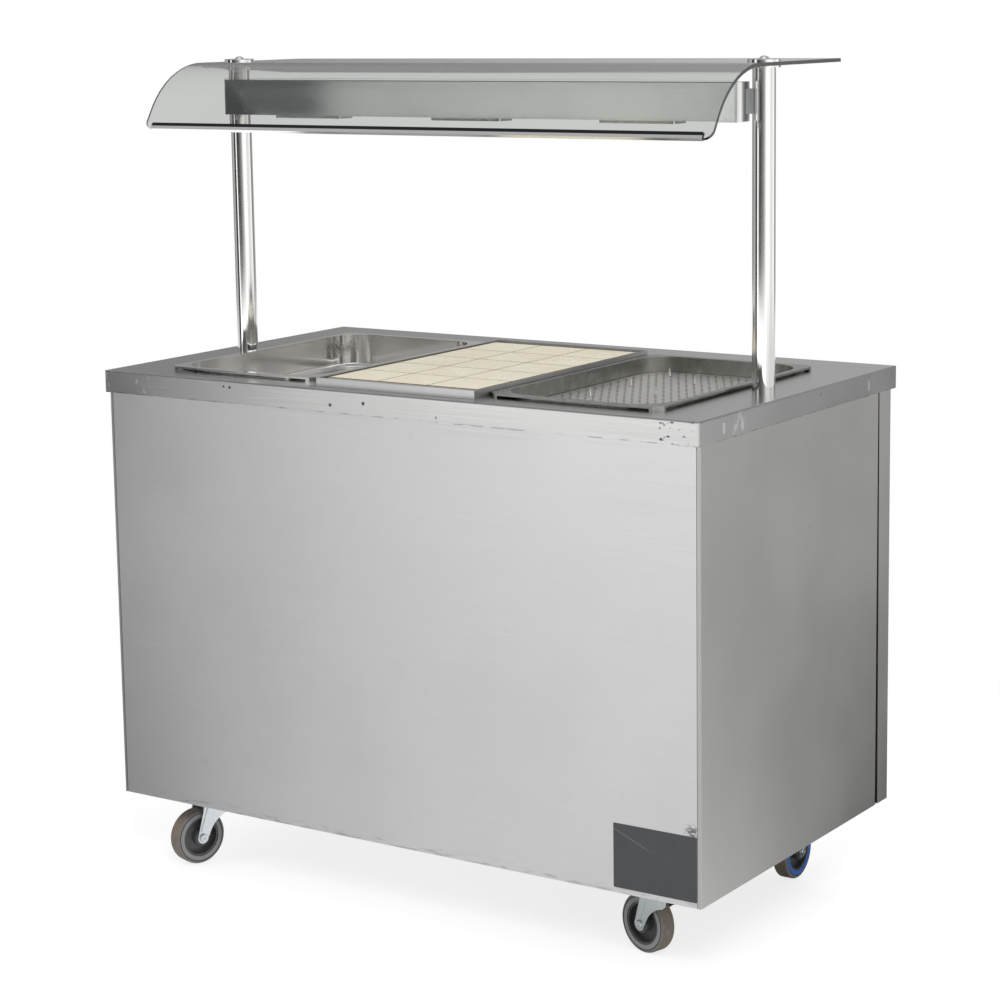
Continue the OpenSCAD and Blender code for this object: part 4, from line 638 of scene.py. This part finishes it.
# Swivel axis, heading in degrees and ring colour of each castor
GREY_RING, BLUE_RING = (0.25, 0.255, 0.25), (0.02, 0.13, 0.50)
CASTORS = {"fl": (-0.475, -0.245, 72, GREY_RING), "fr": (0.475, -0.245, -16, GREY_RING),
           "rl": (-0.475, 0.245, 205, BLUE_RING), "rr": (0.475, 0.245, 90, BLUE_RING)}
CASTOR_TRAIL, AXLE_Z = 0.035, 0.050
# Distances from the axle between which the ring and the groove lie and the sidewall turns into tread
RING_R, GROOVE_R, TREAD_R = (0.0365, 0.0432), (0.0438, 0.0450), (0.0478, 0.0492)


def make_tyre_rubber(name):
    """Grey rubber, by distance from the axle: moulded ring, dark groove, sidewall and worn brown tread."""
    g, shader, at, base = plain("tyre_" + name, (0.17, 0.17, 0.165), 0.55)
    x, y, heading, ring = CASTORS[name]
    ahead = (math.cos(math.radians(heading)), math.sin(math.radians(heading)))
    hub = (x - CASTOR_TRAIL * ahead[0], y - CASTOR_TRAIL * ahead[1], AXLE_Z)
    axle = (-ahead[1], ahead[0], 0)
    from_hub = g.add("VectorMath", {0: at, 1: hub}, operation="SUBTRACT").outputs[0]
    from_axle = g.add("VectorMath", {0: from_hub, 1: axle}, operation="CROSS_PRODUCT").outputs[0]
    radius = g.add("VectorMath", {0: from_axle}, operation="LENGTH").outputs["Value"]
    base = g.mix(g.within(radius, *RING_R, 0.0005), base, ring)
    base = g.mix(g.within(radius, *GROOVE_R, 0.0003), base, (0.03, 0.03, 0.03))
    tread = g.ramp(radius, *TREAD_R)
    wear = g.noise(at, (45, 45, 45), detail=5.0, rough=0.7)
    base = g.mix(tread, base, g.mix(g.ramp(wear, 0.35, 0.65), (0.20, 0.15, 0.115), (0.13, 0.115, 0.10)))
    base = g.mix(g.ramp(wear, 0.62, 0.75, 0.0, 0.6), base, (0.22, 0.19, 0.16))
    g.link(base, shader, "Base Color")


def make_glass():
    """Grey tinted sheet glass with a little dust; its cut ends are ground and dark."""
    g, shader, out = new_material("tinted_glass")
    at = g.place()
    smear = g.noise(at, (6, 14, 6), detail=5.0, rough=0.6)
    tint = g.mix(g.ramp(smear, 0.4, 0.75), (0.60, 0.615, 0.60), (0.58, 0.595, 0.58))
    g.link(tint, shader, "Base Color")
    shader.inputs["Transmission Weight"].default_value = 1.0
    shader.inputs["IOR"].default_value = 1.5
    g.link(g.ramp(smear, 0.35, 0.75, 0.0, 0.03), shader, "Roughness")
    ground = g.add("BsdfPrincipled", {"Base Color": (0.075, 0.08, 0.078, 1), "Roughness": 0.35})
    aside = g.math("ABSOLUTE", g.normal("X"))
    g.link(g.blend(g.ramp(aside, 0.5, 0.7), shader, ground).outputs[0], out, "Surface")


def make_tiles():
    """Cream glazed tiles: each a little different, with brown stains, dark sides and a slight waviness."""
    g, shader, _ = new_material("cream_glaze")
    at = g.place()
    each = g.add("NewGeometry").outputs["Random Per Island"]
    cream = g.mix(each, (0.89, 0.81, 0.62), (0.94, 0.87, 0.69))
    cloud = g.noise(at, (16, 16, 16), detail=5.0, rough=0.6)
    base = g.mix(g.ramp(cloud, 0.45, 0.75, 0.0, 0.25), cream, (0.70, 0.60, 0.45))
    parts = g.split(at)
    rear = g.product(g.ramp(parts["Y"], 0.05, 0.2), g.ramp(parts["X"], 0.0, 0.14))
    stain = g.product(rear, g.ramp(g.noise(at, (9, 40, 9), detail=4.0), 0.45, 0.7, 0.0, 0.5))
    base = g.mix(stain, base, (0.52, 0.36, 0.23))
    upward = g.ramp(g.normal("Z"), 0.75, 0.92)
    base = g.mix(upward, (0.13, 0.07, 0.035), base)
    g.link(base, shader, "Base Color")
    g.link(g.ramp(cloud, 0.3, 0.7, 0.24, 0.32), shader, "Roughness")
    shader.inputs["Specular IOR Level"].default_value = 0.35
    wave = g.noise(at, (35, 35, 35), detail=2.0)
    g.link(g.bump(wave, 0.04, 0.001), shader, "Normal")


def make_grout():
    """Brown joints between the tiles; the bed's rim outside them is grey."""
    g, shader, _ = new_material("grout")
    at = g.place()
    grain = g.noise(at, (900, 900, 900), detail=4.0)
    cloud = g.noise(at, (25, 25, 25), detail=4.0)
    brown = g.mix(g.ramp(cloud, 0.3, 0.7), (0.10, 0.055, 0.03), (0.20, 0.13, 0.08))
    low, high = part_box("tiles")
    place = g.split(at)
    edge = 1 * MM
    inside = g.product(g.within(place["X"], low[0], high[0], edge),
                       g.within(place["Y"], low[1], high[1], edge))
    g.link(g.mix(inside, (0.40, 0.38, 0.34), brown), shader, "Base Color")
    g.link(g.ramp(grain, 0.3, 0.7, 0.75, 0.95), shader, "Roughness")
    g.link(g.bump(grain, 0.4, 0.0004), shader, "Normal")


def make_lamp_glass():
    """Frosted quartz of the heat lamps and fluted amber of the pilot lamps."""
    for name, scale, detail, dark, light, gloss, clear in (
            ("quartz", 300, 2.0, (0.84, 0.80, 0.75), (0.92, 0.90, 0.87), (0.05, 0.18), 0.85),
            ("amber_lens", 600, 1.0, (0.75, 0.24, 0.01), (0.90, 0.38, 0.03), (0.12, 0.25), 0.4)):
        g, shader, _ = new_material(name)
        uneven = g.noise(g.place(), (scale,) * 3, detail=detail)
        g.link(g.mix(uneven, dark, light), shader, "Base Color")
        g.link(g.ramp(uneven, 0.3, 0.7, *gloss), shader, "Roughness")
        shader.inputs["Transmission Weight"].default_value = clear


# Which CAD nodes wear each material
LOOKS = {
    "worktop_steel": ("worktop",),
    "front_steel": ("front_panel", "control_fascia", "door_left_shell", "door_right_shell"),
    "side_steel": ("side_panel_left", "side_panel_right", "rear_frame"),
    "inner_steel": ("back_bulkhead", "cupboard_liner", "shelf", "door_left_liner", "door_right_liner"),
    "tray_steel": ("tile_tray",),
    "galvanised": ("base_pan", "chassis_rails", "well_tanks", "post_fittings"),
    "polished": ("gantry_post_left", "gantry_post_right", "canopy_fixings", "lamp_reflectors",
                 "door_left_handle", "door_right_handle"),
    "trim_steel": ("canopy_trim",),
    "pan_polished": ("left_pan",),
    "pan_worn": ("carving_pan",),
    "plate_steel": ("spike_plate",),
    "housing_steel": ("lamp_housing", "housing_end_caps"),
    "zinc": ("caster_plates", "door_fittings", "brake_pedal_left", "brake_pedal_right", "caster_fl_fork",
             "caster_fr_fork", "caster_rl_fork", "caster_rr_fork"),
    "element": ("heating_elements",),
    "black_plastic": ("control_gear", "cable_gland", "cupboard_knob", "well_knob"),
    "hub_plastic": ("caster_fl_hub", "caster_fr_hub", "caster_rl_hub", "caster_rr_hub"),
    "tyre_fl": ("caster_fl_tyre",),
    "tyre_fr": ("caster_fr_tyre",),
    "tyre_rl": ("caster_rl_tyre",),
    "tyre_rr": ("caster_rr_tyre",),
    "red_plastic": ("lamp_rocker",),
    "seal_rubber": ("door_left_seal", "door_right_seal"),
    "amber_lens": ("pilot_lamps",),
    "quartz": ("heat_lamps",),
    "tinted_glass": ("glass_canopy",),
    "cream_glaze": ("tiles",),
    "grout": ("tile_bed",),
}


def dress_nodes():
    for material, names in LOOKS.items():
        for name in names:
            data = NODES[name].data
            data.materials.clear()
            data.materials.append(MATERIALS[material])


def soften(width, *names):
    """Rounds the edges of CAD nodes by a small radius, so that they catch the light."""
    for name in names:
        weld = NODES[name].modifiers.new("weld", "WELD")
        weld.merge_threshold = 0.00001
        bevel = NODES[name].modifiers.new("bevel", "BEVEL")
        bevel.width = width * MM
        bevel.segments = 2
        bevel.limit_method = "ANGLE"
        bevel.angle_limit = math.radians(50)
        bevel.harden_normals = True


# ---------------------------------------------------------------- small pieces

# Width, height, corner radius, thickness and chamfer of the bare plate, and the middle of its back
LABEL, LABEL_PLACE = (153, 107, 2.0, 0.35, 0.15), (516.5, -341, 194.5)
CONTROL_Z, FASCIA_Y = 809, 331
KNOBS = {"cupboard_knob": -300, "well_knob": -180}
KNOB_FACE_Y = FASCIA_Y + 14.3
DIAL_R, DIAL_TICKS, DIAL_SWEEP = 26.5, 11, 270
TICK_W, TICK_LONG, TICK_SHORT, TICK_ROUND, TICKS_PER_LONG = 1.0, 6, 4, 0.45, 5
# Width, length and corner radius of the line on a knob, and how far its middle is from the knob's
INDEX, INDEX_OUT = (1.2, 11, 0.55), 10
# Thickness and chamfer of the printed marks
PRINT = (0.15, 0.05)
FASCIA_SCREWS_X, FASCIA_SCREWS_UP = (-540, -120, 400, 540), 46
PULL_SCREWS_X, PULL_SCREWS_Y, PULL_SCREWS_Z = 41.5, 335, (398, 457, 516)


def make_label():
    """The plate at the lower right of the front panel, left bare."""
    stack = Stack()
    slab(stack, *LABEL, facing(*LABEL_PLACE, "front"))
    stack.piece("label_plate", "label_vinyl", "cabinet", "black_plastic")


def make_dials():
    """Tick marks round each thermostat and a white index on its knob."""
    for knob, x in KNOBS.items():
        ticks = Stack()
        for i in range(DIAL_TICKS):
            turn = math.radians(DIAL_SWEEP * (i / (DIAL_TICKS - 1) - 0.5))
            place = facing(x, FASCIA_Y, CONTROL_Z, "rear") @ Matrix.Rotation(turn, 4, "Z")
            length = TICK_SHORT if i % TICKS_PER_LONG else TICK_LONG
            slab(ticks, TICK_W, length, TICK_ROUND, *PRINT,
                 place @ Matrix.Translation((0, -DIAL_R - length / 2, 0)))
        ticks.piece(knob + "_dial", "print_ink", "cabinet", "black_plastic")
        index = Stack()
        slab(index, *INDEX, *PRINT,
             facing(x, KNOB_FACE_Y, CONTROL_Z, "rear") @ Matrix.Translation((0, -INDEX_OUT, 0)))
        index.piece(knob + "_index", "white_ink", knob, "black_plastic")


def make_screws():
    """Button-head screws: round the fascia and in the flanges of the door pulls."""
    stack = Stack()
    for x in FASCIA_SCREWS_X:
        for z in (CONTROL_Z - FASCIA_SCREWS_UP, CONTROL_Z + FASCIA_SCREWS_UP):
            screw_head(stack, facing(x, FASCIA_Y, z, "rear"))
    stack.piece("fascia_screws", "polished", "cabinet", "polished_steel")
    for side, sign in (("left", -1), ("right", 1)):
        stack = Stack()
        for z in PULL_SCREWS_Z:
            screw_head(stack, facing(sign * PULL_SCREWS_X, PULL_SCREWS_Y, z, "rear"))
        stack.piece("door_" + side + "_handle_screws", "polished", "door_" + side, "polished_steel")


LAMP_XS, COIL_TURNS, COIL_STEPS = (-339, 0, 339), 34, 8
COIL_R, WIRE_R, WIRE_SIDES, COIL_LENGTH = 1.6, 0.28, 5, 104


def make_filaments():
    """Coiled heating wire inside each quartz lamp."""
    low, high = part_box("heat_lamps")
    y, z = ((low[axis] + high[axis]) / 2 / MM for axis in (1, 2))
    around = [2 * math.pi * i / WIRE_SIDES for i in range(WIRE_SIDES)]
    section = [(WIRE_R * math.sin(a), COIL_R + WIRE_R * math.cos(a)) for a in around]
    stack = Stack()
    for x in LAMP_XS:
        loops = []
        for step in range(COIL_TURNS * COIL_STEPS + 1):
            turn = 2 * math.pi * step / COIL_STEPS
            along = COIL_LENGTH * (step / (COIL_TURNS * COIL_STEPS) - 0.5)
            loops.append([(x + along + shift, y + reach * math.cos(turn), z + reach * math.sin(turn))
                          for shift, reach in section])
        stack.loops(loops)
    stack.piece("lamp_filaments", "element", "cabinet", "element_steel", smooth=True)


make_materials()
make_camera()
make_studio()
dress_nodes()
soften(0.5, "tiles")
soften(0.3, "tile_tray", "front_panel", "rear_frame", "lamp_housing", "housing_end_caps", "control_fascia")
make_label()
make_dials()
make_screws()
make_filaments()
